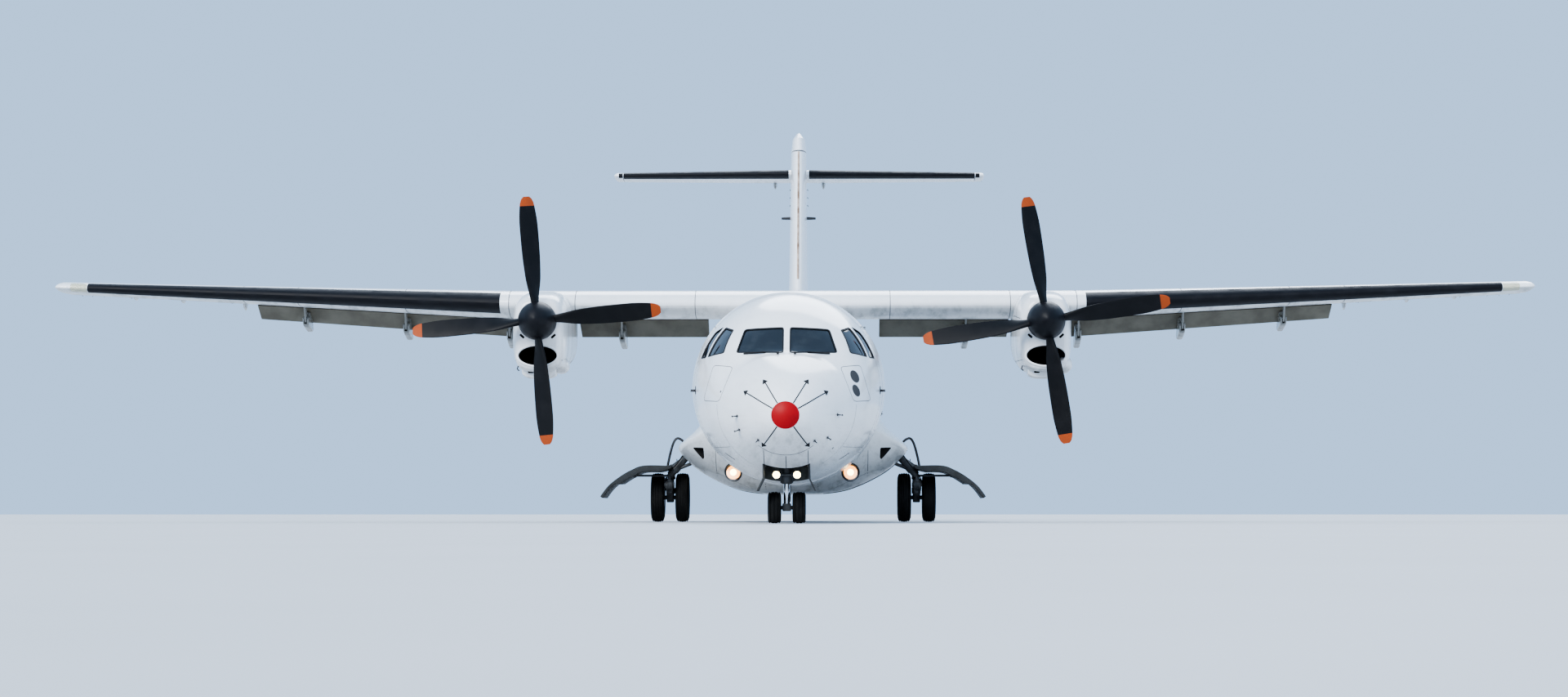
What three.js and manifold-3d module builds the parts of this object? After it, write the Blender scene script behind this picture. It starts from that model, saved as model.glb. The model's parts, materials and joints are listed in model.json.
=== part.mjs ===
// High-wing twin turboprop airliner, standing on its landing gear.
// Millimetres. +X is the port side, -Y the nose and +Z up; the origin is on the ground under mid length.

import * as THREE from "three";
import { mergeVertices } from "three/addons/utils/BufferGeometryUtils.js";
import Module from "manifold-3d";

const wasm = await Module();
wasm.setup();

// Overall sizes
const LENGTH = 22670;
const MID_LENGTH = LENGTH / 2;
const HALF_SPAN = 12285;

// Gaps
const FIT = 0.3; // between pieces that rest on each other
const CLEAR = 10; // round a piece that moves
const DOOR_GAP = 5;
const MERGE_DISTANCE = 1e-3;

const airliner = new THREE.Group();
airliner.name = "turboprop_airliner";

const SIDES = [
  { side: "port", sign: 1 },
  { side: "starboard", sign: -1 },
];

const FINISHES = {
  white_paint: { color: 0xe9ebec, roughness: 0.35, metalness: 0.1 },
  red_paint: { color: 0x8f1f1c, roughness: 0.45, metalness: 0.05 },
  dull_metal: { color: 0x8d867b, roughness: 0.6, metalness: 0.7 },
  gear_paint: { color: 0xb9bcbd, roughness: 0.5, metalness: 0.3 },
  chrome: { color: 0xd5d8da, roughness: 0.15, metalness: 1.0 },
  black_composite: { color: 0x1b1c1e, roughness: 0.55, metalness: 0.0 },
  dark_iron: { color: 0x3a3a3a, roughness: 0.7, metalness: 0.6 },
  rubber: { color: 0x141414, roughness: 0.9, metalness: 0.0 },
  glass: { color: 0x1d2830, roughness: 0.08, metalness: 0.0 },
  cabin_plastic: { color: 0x4b4d50, roughness: 0.7, metalness: 0.0 },
};

// Solids

const radians = THREE.MathUtils.degToRad;
const lerp = THREE.MathUtils.lerp;

// A place part of the way from one point to another.
const between = (from, to, k) => from.map((value, i) => lerp(value, to[i], k));

// Distance behind the nose tip, as the tables give it, to y.
const station = (s) => s - MID_LENGTH;

// A closed geometry as a solid that faces outwards.
function solid(geometry) {
  const bare = geometry.index ? geometry.toNonIndexed() : geometry.clone();
  bare.deleteAttribute("normal");
  bare.deleteAttribute("uv");
  const merged = mergeVertices(bare, MERGE_DISTANCE);
  const vertProperties = merged.attributes.position.array;
  const corners = merged.index.array;
  const faces = [];
  for (let i = 0; i < corners.length; i += 3) {
    const [a, b, c] = corners.slice(i, i + 3);
    if (a !== b && b !== c && c !== a) faces.push([a, b, c]);
  }
  const build = (list) =>
    new wasm.Manifold(
      new wasm.Mesh({ numProp: 3, vertProperties, triVerts: new Uint32Array(list.flat()) }),
    );
  const body = build(faces);
  return body.volume() < 0 ? build(faces.map(([a, b, c]) => [a, c, b])) : body;
}

function geometryOf(body) {
  const { numProp, vertProperties, triVerts } = body.getMesh();
  const positions = new Float32Array((vertProperties.length / numProp) * 3);
  for (let i = 0; i * numProp < vertProperties.length; i++) {
    positions.set(vertProperties.subarray(i * numProp, i * numProp + 3), i * 3);
  }
  const geometry = new THREE.BufferGeometry();
  geometry.setAttribute("position", new THREE.BufferAttribute(positions, 3));
  geometry.setIndex(new THREE.BufferAttribute(new Uint32Array(triVerts), 1));
  geometry.computeVertexNormals();
  return geometry;
}

const join = (bodies) => bodies.reduce((whole, body) => whole.add(body));
const cut = (body, tools) => tools.reduce((whole, tool) => whole.subtract(tool), body);
const mirrored = (body) => solid(geometryOf(body).scale(-1, 1, 1));
const moved = (body, x, y, z) => solid(geometryOf(body).translate(x, y, z));

// Triangles over a flat ring of points, wound as the ring is.
function capFaces(ring) {
  const normal = new THREE.Vector3();
  ring.forEach((p, i) => {
    const q = ring[(i + 1) % ring.length];
    normal.x += (p[1] - q[1]) * (p[2] + q[2]);
    normal.y += (p[2] - q[2]) * (p[0] + q[0]);
    normal.z += (p[0] - q[0]) * (p[1] + q[1]);
  });
  if (normal.length() < 1e-6) return [];
  const size = [Math.abs(normal.x), Math.abs(normal.y), Math.abs(normal.z)];
  const drop = size.indexOf(Math.max(...size));
  const [u, v] = [[1, 2], [2, 0], [0, 1]][drop];
  const flat = ring.map((p) => new THREE.Vector2(p[u], p[v]));
  const turn = Math.sign(normal.getComponent(drop));
  return THREE.ShapeUtils.triangulateShape(flat, []).map(([a, b, c]) => {
    const ab = flat[b].clone().sub(flat[a]);
    const ac = flat[c].clone().sub(flat[a]);
    return ab.cross(ac) * turn < 0 ? [a, c, b] : [a, b, c];
  });
}

// A closed skin over rings that have equally many points.
function loft(rings) {
  const count = rings[0].length;
  const faces = [];
  for (let ring = 0; ring + 1 < rings.length; ring++) {
    for (let i = 0; i < count; i++) {
      const a = ring * count + i;
      const b = ring * count + ((i + 1) % count);
      faces.push(a, b, b + count, a, b + count, a + count);
    }
  }
  const last = (rings.length - 1) * count;
  capFaces(rings[0]).forEach(([a, b, c]) => faces.push(a, c, b));
  capFaces(rings.at(-1)).forEach((face) => faces.push(...face.map((i) => i + last)));
  const geometry = new THREE.BufferGeometry();
  geometry.setAttribute("position", new THREE.Float32BufferAttribute(rings.flat(2), 3));
  geometry.setIndex(faces);
  return solid(geometry);
}

function box([x0, x1], [y0, y1], [z0, z1]) {
  const geometry = new THREE.BoxGeometry(x1 - x0, y1 - y0, z1 - z0);
  return solid(geometry.translate((x0 + x1) / 2, (y0 + y1) / 2, (z0 + z1) / 2));
}

// An outline of [y, z], [z, x] or [x, y] points drawn out along the axis named.
function prism(axis, outline, from, to) {
  const shape = new THREE.Shape(outline.map(([a, b]) => new THREE.Vector2(a, b)));
  const geometry = new THREE.ExtrudeGeometry(shape, { depth: to - from, bevelEnabled: false });
  geometry.translate(0, 0, from);
  const unit = { x: [1, 0, 0], y: [0, 1, 0], z: [0, 0, 1] };
  const order = { x: "yzx", y: "zxy", z: "xyz" }[axis];
  const [u, v, w] = [...order].map((name) => new THREE.Vector3(...unit[name]));
  return solid(geometry.applyMatrix4(new THREE.Matrix4().makeBasis(u, v, w)));
}

// A round bar between two points, its first corner turned by a phase.
function rod(from, to, radius, sides = 10, phase = 0) {
  const start = new THREE.Vector3(...from);
  const span = new THREE.Vector3(...to).sub(start);
  const geometry = new THREE.CylinderGeometry(radius, radius, span.length(), sides, 1, false, phase);
  const turn = new THREE.Quaternion().setFromUnitVectors(
    new THREE.Vector3(0, 1, 0),
    span.clone().normalize(),
  );
  geometry.applyQuaternion(turn);
  geometry.translate(...start.addScaledVector(span, 0.5).toArray());
  return solid(geometry);
}

// The radius whose flats, not corners, lie at the one given.
const overFlats = (radius, sides) => radius / Math.cos(Math.PI / sides);

// The hole that a round bar turns in, its flats against the bar's corners at rest.
const boreFor = (from, to, radius, sides = 10) =>
  rod(from, to, overFlats(radius + FIT, sides), sides, Math.PI / sides);

// A tube along a smooth route.
function bentTube(route, radius) {
  const circle = new THREE.Shape();
  circle.absarc(0, 0, radius, 0, 2 * Math.PI);
  const extrudePath = new THREE.CatmullRomCurve3(route.map((p) => new THREE.Vector3(...p)));
  return solid(
    new THREE.ExtrudeGeometry(circle, { extrudePath, steps: 8, curveSegments: 2, bevelEnabled: false }),
  );
}

// A convex outline drawn in by a distance.
function drawnIn(outline, distance) {
  const area = outline.reduce((sum, [x, y], i) => {
    const [nextX, nextY] = outline[(i + 1) % outline.length];
    return sum + x * nextY - nextX * y;
  }, 0);
  const lines = outline.map(([x, y], i) => {
    const [nextX, nextY] = outline[(i + 1) % outline.length];
    const length = Math.hypot(nextX - x, nextY - y) * Math.sign(area);
    const normal = [-(nextY - y) / length, (nextX - x) / length];
    return { normal, offset: normal[0] * x + normal[1] * y + distance };
  });
  return outline.map((_, i) => {
    const a = lines[(i + outline.length - 1) % outline.length];
    const b = lines[i];
    const det = a.normal[0] * b.normal[1] - a.normal[1] * b.normal[0];
    return [
      (a.offset * b.normal[1] - b.offset * a.normal[1]) / det,
      (b.offset * a.normal[0] - a.offset * b.normal[0]) / det,
    ];
  });
}

// A table's row at any place between its rows, in straight steps.
function rowAt(rows, at) {
  const next = Math.min(Math.max(rows.findIndex((row) => row[0] >= at), 1), rows.length - 1);
  const [low, high] = [rows[next - 1], rows[next]];
  const k = (at - low[0]) / (high[0] - low[0]);
  return low.map((value, i) => lerp(value, high[i], k));
}

// The places from one end to the other, with the table's rows between them.
function placesBetween(rows, from, to) {
  const inner = rows.map(([at]) => at).filter((at) => at > from && at < to);
  return [from, ...inner, to];
}

function piece(name, body, finish, parent = airliner) {
  const mesh = new THREE.Mesh(geometryOf(body), new THREE.MeshStandardMaterial(FINISHES[finish]));
  mesh.name = name;
  parent.add(mesh);
}

// A group at a pivot, turned about an axis through it, that holds a body drawn in place before the turn.
function turnedPiece(name, body, finish, { pivot, axis, degrees }) {
  const group = new THREE.Group();
  group.position.set(...pivot);
  group.quaternion.setFromAxisAngle(new THREE.Vector3(...axis), radians(degrees));
  airliner.add(group);
  piece(name, moved(body, -pivot[0], -pivot[1], -pivot[2]), finish, group);
}

function pieceOnBothSides(name, body, finish) {
  for (const { side, sign } of SIDES) {
    piece(`${name}_${side}`, sign > 0 ? body : mirrored(body), finish);
  }
}

// Fuselage

const HULL_POINTS = 28;
const HULL = [
  // station, half width, height of the widest line, top, bottom
  [0, 0, 1500, 1500, 1500],
  [5, 55, 1499, 1553, 1446],
  [20, 110, 1498, 1605, 1391],
  [60, 190, 1495, 1680, 1310],
  [200, 345, 1500, 1845, 1165],
  [450, 520, 1520, 2035, 1010],
  [850, 735, 1570, 2235, 860],
  [1250, 915, 1640, 2385, 750],
  [1430, 985, 1680, 2440, 715],
  [1950, 1150, 1790, 2870, 650],
  [2300, 1235, 1850, 3080, 620],
  [2800, 1325, 1920, 3260, 592],
  [3400, 1395, 1970, 3375, 574],
  [4100, 1432.5, 2000, 3432.5, 567.5],
  [14200, 1432.5, 2000, 3432.5, 567.5],
  [15200, 1425, 2020, 3432, 610],
  [16200, 1370, 2090, 3430, 760],
  [17200, 1255, 2200, 3425, 990],
  [18400, 1040, 2360, 3415, 1320],
  [19600, 760, 2560, 3390, 1720],
  [20600, 490, 2740, 3340, 2110],
  [21300, 270, 2850, 3250, 2440],
  [21750, 90, 2890, 3040, 2740],
];
const NOSE_CAP_END = 64;
const RADOME_END = 580;
const COCKPIT_END = 3250;
const CENTRE_END = 14200;
const HULL_END = 21750;

function hullRing(s, inset) {
  const [, halfWidth, middle, top, bottom] = rowAt(HULL, s);
  return Array.from({ length: HULL_POINTS }, (_, i) => {
    const angle = (2 * Math.PI * i) / HULL_POINTS;
    const rise = Math.sin(angle) > 0 ? top - middle : middle - bottom;
    return [
      Math.max(halfWidth - inset, 0) * Math.cos(angle),
      station(s),
      middle + Math.max(rise - inset, 0) * Math.sin(angle),
    ];
  });
}

// The body's skin between two stations, drawn in by a distance.
const hull = (from, to, inset = 0) =>
  loft(placesBetween(HULL, from, to).map((s) => hullRing(s, inset)));

// Wing

const WING = {
  leading: -2000,
  chord: 2570,
  centre: 3560,
  thickness: 0.18,
  breakX: 4650,
  tipLeading: -1308,
  tipChord: 1410,
  tipCentre: 3893,
  tipThickness: 0.13,
  camber: 0.02,
  incidence: 2,
};
const WING_STEPS = 9;
const TRAILING_EDGE = 4;

function wingAt(x) {
  const k = Math.max(0, (Math.abs(x) - WING.breakX) / (HALF_SPAN - WING.breakX));
  return {
    leading: lerp(WING.leading, WING.tipLeading, k),
    chord: lerp(WING.chord, WING.tipChord, k),
    centre: lerp(WING.centre, WING.tipCentre, k),
    thickness: lerp(WING.thickness, WING.tipThickness, k),
  };
}

// Half the thickness of a symmetric aerofoil at a fraction k of its chord, as a fraction of the chord.
function halfThickness(k, thickness) {
  const curve = 0.2969 * Math.sqrt(k) - 0.126 * k - 0.3516 * k ** 2 + 0.2843 * k ** 3 - 0.1036 * k ** 4;
  return 5 * thickness * curve;
}

// A place in the wing's section at x: u behind the leading edge and w above the chord line.
function wingPoint(x, u, w) {
  const { leading, chord, centre } = wingAt(x);
  const angle = radians(WING.incidence);
  const arm = u - chord / 4;
  return [
    x,
    leading + chord / 4 + arm * Math.cos(angle) + w * Math.sin(angle),
    centre - arm * Math.sin(angle) + w * Math.cos(angle),
  ];
}

const camberAt = (k, camber) => 4 * camber * k * (1 - k);
const cosineStep = (i, steps) => (1 - Math.cos((Math.PI * i) / steps)) / 2;

// An aerofoil's outline as [u, w] points, upper side first from the trailing edge, grown by a distance.
function aerofoil({ chord, thickness, camber = 0, grow = 0, steps = WING_STEPS }) {
  const side = (sign) =>
    Array.from({ length: steps + 1 }, (_, i) => {
      const k = cosineStep(i, steps);
      const half = halfThickness(k, thickness) * chord + (k * TRAILING_EDGE) / 2 + grow;
      return [-grow + k * (chord + 2 * grow), camberAt(k, camber) * chord + sign * half];
    });
  const upper = side(1).reverse();
  const lower = side(-1);
  return grow > 0 ? [...upper, ...lower] : [...upper, ...lower.slice(1)];
}

function wingRing(x, grow = 0, trim = { chord: 1, thickness: 1 }) {
  const { chord, thickness } = wingAt(x);
  const shape = {
    chord: chord * trim.chord,
    thickness: thickness * trim.thickness,
    camber: WING.camber,
    grow,
  };
  const shift = (chord * (1 - trim.chord)) / 2;
  return aerofoil(shape).map(([u, w]) => wingPoint(x, u + shift, w));
}

const TIP_ROUND_FROM = 12150;
const TIP_TRIM = { chord: 0.9, thickness: 0.4 };
const wingCentre = loft([wingRing(-WING.breakX), wingRing(WING.breakX)]);
const wingOuter = loft([
  wingRing(WING.breakX + FIT),
  wingRing(TIP_ROUND_FROM),
  wingRing(HALF_SPAN, 0, TIP_TRIM),
]);
const wingCentreGrown = loft([wingRing(-WING.breakX, FIT), wingRing(WING.breakX, FIT)]);

// Flaps, which turn about a line under the wing

const FLAP_REST = 25; // degrees down as it stands
const FLAP_PIVOT = { u: 0.72, w: -0.128 };
const FLAP_NOSE = { lower: 0.712, upper: 0.8 };
const FLAP_NOSE_STEPS = 6;
const FLAPS = [
  { name: "flap_inner", inboard: 1450, outboard: 3630, endGap: 10, hinges: [2900] },
  { name: "flap_outer", inboard: 4700, outboard: 9075, endGap: 35, hinges: [4800, 6550, 8250] },
];

const wingSurface = (k, thickness, sign) =>
  camberAt(k, WING.camber) + sign * halfThickness(k, thickness);

// The flap's outline at x, or with a gap, the space that the wing leaves for it.
function flapOutline(x, gap) {
  const { chord, thickness } = wingAt(x);
  const top = wingSurface(FLAP_NOSE.upper, thickness, 1) * chord;
  const foot = wingSurface(FLAP_NOSE.lower, thickness, -1) * chord;
  const reach = (FLAP_NOSE.upper - FLAP_NOSE.lower) * chord + gap;
  const nose = Array.from({ length: FLAP_NOSE_STEPS + 1 }, (_, i) => {
    const angle = (Math.PI / 2) * (i / FLAP_NOSE_STEPS);
    return [
      FLAP_NOSE.upper * chord - reach * Math.sin(angle),
      foot + (top - foot + gap) * Math.cos(angle),
    ];
  });
  if (gap > 0) {
    const [front] = nose.at(-1);
    const beyond = chord + 100;
    return [[beyond, nose[0][1] + 40], ...nose, [front, foot - 200], [beyond, foot - 200]];
  }
  const aft = (sign) =>
    [0.87, 0.94, 1].map((k) => [
      k * chord,
      wingSurface(k, thickness, sign) * chord + (sign * TRAILING_EDGE) / 2,
    ]);
  return [...aft(1).reverse(), ...nose, ...aft(-1)];
}

const spanLoft = (places, outline, place) =>
  loft(places.map((at) => outline(at).map(([u, w]) => place(at, u, w))));

const flapPivotAt = (x) =>
  wingPoint(x, FLAP_PIVOT.u * wingAt(x).chord, FLAP_PIVOT.w * wingAt(x).chord);

// Hinge fairing and bracket, as fractions of the chord, and their widths
const POD = {
  outline: [
    [0.79, -0.02],
    [0.985, 0],
    [1.05, -0.06],
    [0.9, -0.125],
    [0.76, -0.172],
    [0.72, -0.171],
    [0.72, -0.128],
    [0.76, -0.075],
  ],
  lobe: 0.043,
  slot: 0.045,
  width: 120,
  slotWidth: 50,
};
const BRACKET = {
  outline: [[0.6, -0.01], [0.69, -0.015], [0.745, -0.115], [0.725, -0.158], [0.69, -0.145]],
  boss: 0.033,
  width: 30,
  pin: 26,
};
const PIN_SIDES = 6;
const LOBE_SIDES = 8;

function sectionPlate(x, outline, width) {
  const { chord } = wingAt(x);
  const yz = outline.map(([u, w]) => wingPoint(x, u * chord, w * chord).slice(1));
  return prism("x", yz, x - width / 2, x + width / 2);
}

function hingeAxis(inboard, outboard) {
  const from = new THREE.Vector3(...flapPivotAt(outboard));
  return new THREE.Vector3(...flapPivotAt(inboard)).sub(from).normalize();
}

// A round bar on the flaps' hinge line, centred at x.
function onHinge(x, axis, length, radius, sides = PIN_SIDES) {
  const middle = new THREE.Vector3(...flapPivotAt(x));
  const ends = [-0.5, 0.5].map((k) => middle.clone().addScaledVector(axis, k * length).toArray());
  return rod(ends[0], ends[1], radius, sides);
}

function hingePod(x, axis) {
  const { chord } = wingAt(x);
  const lobe = onHinge(x, axis, POD.width, POD.lobe * chord, LOBE_SIDES);
  return sectionPlate(x, POD.outline, POD.width).add(lobe);
}

function hingeSpace(x, axis) {
  const { chord } = wingAt(x);
  const bore = overFlats(BRACKET.pin + FIT, PIN_SIDES);
  return onHinge(x, axis, POD.slotWidth, POD.slot * chord, LOBE_SIDES).add(
    onHinge(x, axis, POD.width * 1.5, bore),
  );
}

function hingeBracket(x, axis) {
  const { chord } = wingAt(x);
  return join([
    sectionPlate(x, BRACKET.outline, BRACKET.width),
    onHinge(x, axis, BRACKET.width, BRACKET.boss * chord, LOBE_SIDES),
    onHinge(x, axis, POD.width - 2, BRACKET.pin),
  ]);
}

const flapBay = ({ inboard, outboard, endGap }) =>
  spanLoft([inboard - CLEAR, outboard + endGap], (x) => flapOutline(x, CLEAR), wingPoint);

function flapBody({ inboard, outboard, hinges }, axis) {
  const panel = spanLoft([inboard, outboard], (x) => flapOutline(x, 0), wingPoint);
  return cut(
    join([panel, ...hinges.map((x) => hingePod(x, axis))]),
    hinges.map((x) => hingeSpace(x, axis)),
  );
}

// Surfaces that turn about a line inside their own round nose

const NOSE_STEPS = 7;
const COVE = 14; // gap between the round nose and the hollow it turns in

// The nose's centre and radius in a section.
function noseOf({ chord, thickness, camber = 0, hinge }) {
  return {
    u: hinge * chord,
    w: camberAt(hinge, camber) * chord,
    radius: halfThickness(hinge, thickness) * chord,
  };
}

function noseArc({ u, w, radius }, grow) {
  return Array.from({ length: NOSE_STEPS + 1 }, (_, i) => {
    const angle = Math.PI * (0.5 + i / NOSE_STEPS);
    return [u + (radius + grow) * Math.cos(angle), w + (radius + grow) * Math.sin(angle)];
  });
}

function movingOutline(section) {
  const { chord, thickness, camber = 0, hinge } = section;
  const aft = (sign) =>
    [0.35, 0.7, 1].map((j) => {
      const k = lerp(hinge, 1, j);
      const half = halfThickness(k, thickness) * chord + (k * TRAILING_EDGE) / 2;
      return [k * chord, camberAt(k, camber) * chord + sign * half];
    });
  return [...noseArc(noseOf(section), 0), ...aft(-1), ...aft(1).reverse()];
}

function bayOutline(section) {
  const nose = noseOf(section);
  const beyond = section.chord + 100;
  const height = nose.radius + COVE;
  return [...noseArc(nose, COVE), [beyond, nose.w - height], [beyond, nose.w + height]];
}

// A bracket that reaches out of the hollow to the hinge line, with a pin through the nose beside it
const HINGE_LUG = { half: 12, slotHalf: 22, height: 24, reach: 24, pin: 12, pinHalf: 55 };

function surfaceHinge(at, sectionAt, place) {
  const nose = noseOf(sectionAt(at));
  const slab = (half, [from, to], height) => {
    const corners = [[from, -height], [to, -height], [to, height], [from, height]];
    return spanLoft(
      [at - half, at + half],
      () => corners.map(([u, w]) => [nose.u + u, nose.w + w]),
      place,
    );
  };
  const ends = [-1, 1].map((sign) => {
    const other = at + sign * HINGE_LUG.pinHalf;
    const end = noseOf(sectionAt(other));
    return place(other, end.u, end.w);
  });
  const front = -nose.radius - COVE - 40;
  return {
    bracket: slab(HINGE_LUG.half, [front, HINGE_LUG.reach], HINGE_LUG.height).add(
      rod(...ends, HINGE_LUG.pin, PIN_SIDES),
    ),
    space: slab(
      HINGE_LUG.slotHalf,
      [-nose.radius - CLEAR, Math.hypot(HINGE_LUG.reach, HINGE_LUG.height) + CLEAR],
      nose.radius + 40,
    ).add(
      boreFor(between(ends[0], ends[1], -0.05), between(ends[0], ends[1], 1.05), HINGE_LUG.pin, PIN_SIDES),
    ),
  };
}

const AILERON = { inboard: 9160, outboard: 11620, hinge: 0.73, hinges: [9700, 11100] };
const aileronSection = (x) => ({ ...wingAt(x), camber: WING.camber, hinge: AILERON.hinge });
const aileronHinges = AILERON.hinges.map((x) => surfaceHinge(x, aileronSection, wingPoint));
const aileronBody = spanLoft(
  [AILERON.inboard, AILERON.outboard],
  (x) => movingOutline(aileronSection(x)),
  wingPoint,
);
const aileronBay = spanLoft(
  [AILERON.inboard - CLEAR, AILERON.outboard + CLEAR],
  (x) => bayOutline(aileronSection(x)),
  wingPoint,
);

function buildWing() {
  const [inner, outer] = FLAPS.map((flap) => ({
    ...flap,
    axis: hingeAxis(flap.inboard, flap.outboard),
  }));
  const bracketsOf = ({ hinges, axis }) => hinges.map((x) => hingeBracket(x, axis));
  const innerBay = flapBay(inner);
  const innerBrackets = bracketsOf(inner);
  const centre = join([
    cut(wingCentre, [innerBay, mirrored(innerBay)]),
    ...innerBrackets,
    ...innerBrackets.map(mirrored),
  ]);
  piece("wing_centre", centre, "white_paint");
  const panel = join([
    cut(wingOuter, [flapBay(outer), aileronBay]),
    ...bracketsOf(outer),
    ...aileronHinges.map(({ bracket }) => bracket),
  ]);
  pieceOnBothSides("wing_outer", panel, "white_paint");
  for (const flap of [inner, outer]) {
    const body = flapBody(flap, flap.axis);
    const [x, y, z] = flapPivotAt(flap.inboard);
    for (const { side, sign } of SIDES) {
      turnedPiece(`${flap.name}_${side}`, sign > 0 ? body : mirrored(body), "dull_metal", {
        pivot: [sign * x, y, z],
        axis: [flap.axis.x, sign * flap.axis.y, sign * flap.axis.z],
        degrees: FLAP_REST,
      });
    }
  }
  pieceOnBothSides("aileron", cut(aileronBody, aileronHinges.map(({ space }) => space)), "white_paint");
}

// Fillet over the body at the wing's root

const ROOT_FAIRING_FOOT = 2700;
const ROOT_FAIRING = [
  // station, half width, top
  [7900, 200, 3440],
  [8600, 700, 3600],
  [9300, 1000, 3730],
  [10500, 1120, 3780],
  [11900, 1050, 3660],
  [12800, 700, 3540],
  [13600, 200, 3438],
];

function superellipse(angle, exponent) {
  const bend = (value) => Math.sign(value) * Math.abs(value) ** (2 / exponent);
  return [bend(Math.cos(angle)), bend(Math.sin(angle))];
}

const rootFairing = loft(
  ROOT_FAIRING.map(([s, halfWidth, top]) =>
    Array.from({ length: 17 }, (_, i) => {
      const [across, up] = superellipse((Math.PI * i) / 16, 2.3);
      return [halfWidth * across, station(s), ROOT_FAIRING_FOOT + (top - ROOT_FAIRING_FOOT) * up];
    }),
  ),
);

// Fairing under the belly, which carries the main gear in its two shoulders

const BELLY_HALF = [
  // x, z of the widest section's lower half
  [0, 460],
  [550, 470],
  [1000, 560],
  [1500, 800],
  [1800, 1050],
  [1900, 1200],
  [1850, 1290],
  [1650, 1450],
  [1430, 1680],
  [1380, 1800],
];
const BELLY_SWELL = [
  // station, how far the section has swollen out of the body
  [7900, 0],
  [8350, 0.42],
  [8900, 0.76],
  [9600, 0.95],
  [10300, 1],
  [11500, 1],
  [12200, 0.9],
  [12900, 0.6],
  [13600, 0],
];

function bellyRing(s, swell) {
  const [, halfWidth, middle, , bottom] = rowAt(HULL, s);
  const half = BELLY_HALF.map(([x, z]) => {
    const angle = Math.atan2((z - middle) / (middle - bottom), x / halfWidth);
    const inside = 0.99;
    const hullX = inside * halfWidth * Math.cos(angle);
    const hullZ = middle + inside * (middle - bottom) * Math.sin(angle);
    return [lerp(hullX, x, swell), station(s), lerp(hullZ, z, swell)];
  });
  const other = half.slice(1).reverse().map(([x, y, z]) => [-x, y, z]);
  return [...half, ...other];
}

const WHEEL_BAY = { x: [500, 2000], y: [-1500.3, -199.7], z: [300, 1180.3] };
const NOSE_BAY = { x: [-335, 335], y: [station(1130), station(2600)], z: [400, 1200.3] };
const wheelBay = box(WHEEL_BAY.x, WHEEL_BAY.y, WHEEL_BAY.z);
const noseBay = box(NOSE_BAY.x, NOSE_BAY.y, NOSE_BAY.z);

// Flat pads under the body for the jacks
const JACK_PAD = { radius: 60, height: 70 };
const NOSE_JACK = { x: 0, y: station(2950), face: 572 };
const BELLY_JACK = { x: 480, y: station(9650), face: 452 };

const jackPad = ({ x, y, face }) =>
  rod([x, y, face], [x, y, face + JACK_PAD.height], JACK_PAD.radius, 16);

// Doors in the body's side

const DOOR_THICKNESS = 110;
const AIRSTAIR = {
  from: 15200,
  to: 15950,
  sill: 1400,
  head: 3150,
  depth: 1050,
  hingeX: 1285,
  hinges: [15290, 15700],
};
const AIRSTAIR_SWEEP = 1800; // radius about the hinge that the doorway's head follows
const STEPS = { count: 6, first: 200, pitch: 235, depth: 210, thickness: 30, inset: 70 };
const CARGO = {
  from: 3350,
  to: 4620,
  sill: 1360,
  head: 2890,
  depth: 1900,
  hingeX: 1128,
  hinges: [3850, 4420],
};
const SERVICE = { from: 15300, to: 15950, sill: 1400, head: 2620, thickness: 60 };

const shell = (from, to, outer, inner) =>
  hull(from, to, outer).subtract(hull(from - 50, to + 50, inner));

// A tongue on the door, which turns on a pin between two ears of the body
const DOOR_HINGE = { pin: 10, lobe: 18, space: 27, tongueHalf: 15, slotHalf: 20, earHalf: 40, spaceHalf: 46 };
const DOOR_WEB = { inner: 100, outer: 2, reach: 45 };
const DOOR_FOOT = { width: 110, height: 18 };

// The hinges of a side door on a line along the body, the door above it or below it.
function doorHinges(x, z, stations, rise) {
  return stations.map((s) => {
    const y = station(s);
    const along = (half, radius, sides = LOBE_SIDES) =>
      rod([x, y - half, z], [x, y + half, z], radius, sides);
    const reach = [z + rise * DOOR_GAP, z + rise * DOOR_WEB.reach].sort((a, b) => a - b);
    const foot = [z, z - rise * DOOR_FOOT.height].sort((a, b) => a - b);
    const { tongueHalf, slotHalf, earHalf, spaceHalf } = DOOR_HINGE;
    return {
      ears: along(earHalf, DOOR_HINGE.lobe).add(
        box([x - DOOR_FOOT.width, x], [y - earHalf, y + earHalf], foot),
      ),
      slot: along(slotHalf, DOOR_HINGE.space),
      pin: along(earHalf, DOOR_HINGE.pin, PIN_SIDES),
      space: along(spaceHalf, DOOR_HINGE.space),
      tongue: along(tongueHalf, DOOR_HINGE.lobe).add(
        box([x - DOOR_WEB.inner, x + DOOR_WEB.outer], [y - tongueHalf, y + tongueHalf], reach),
      ),
      bore: boreFor([x, y - earHalf, z], [x, y + earHalf, z], DOOR_HINGE.pin, PIN_SIDES),
    };
  });
}

function withHinges(body, hinges) {
  const eared = join([body, ...hinges.map(({ ears }) => ears)]);
  const slotted = cut(eared, hinges.map(({ slot }) => slot));
  return join([slotted, ...hinges.map(({ pin }) => pin)]);
}

const onHinges = (door, hinges) =>
  cut(
    join([cut(door, hinges.map(({ space }) => space)), ...hinges.map(({ tongue }) => tongue)]),
    hinges.map(({ bore }) => bore),
  );

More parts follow.
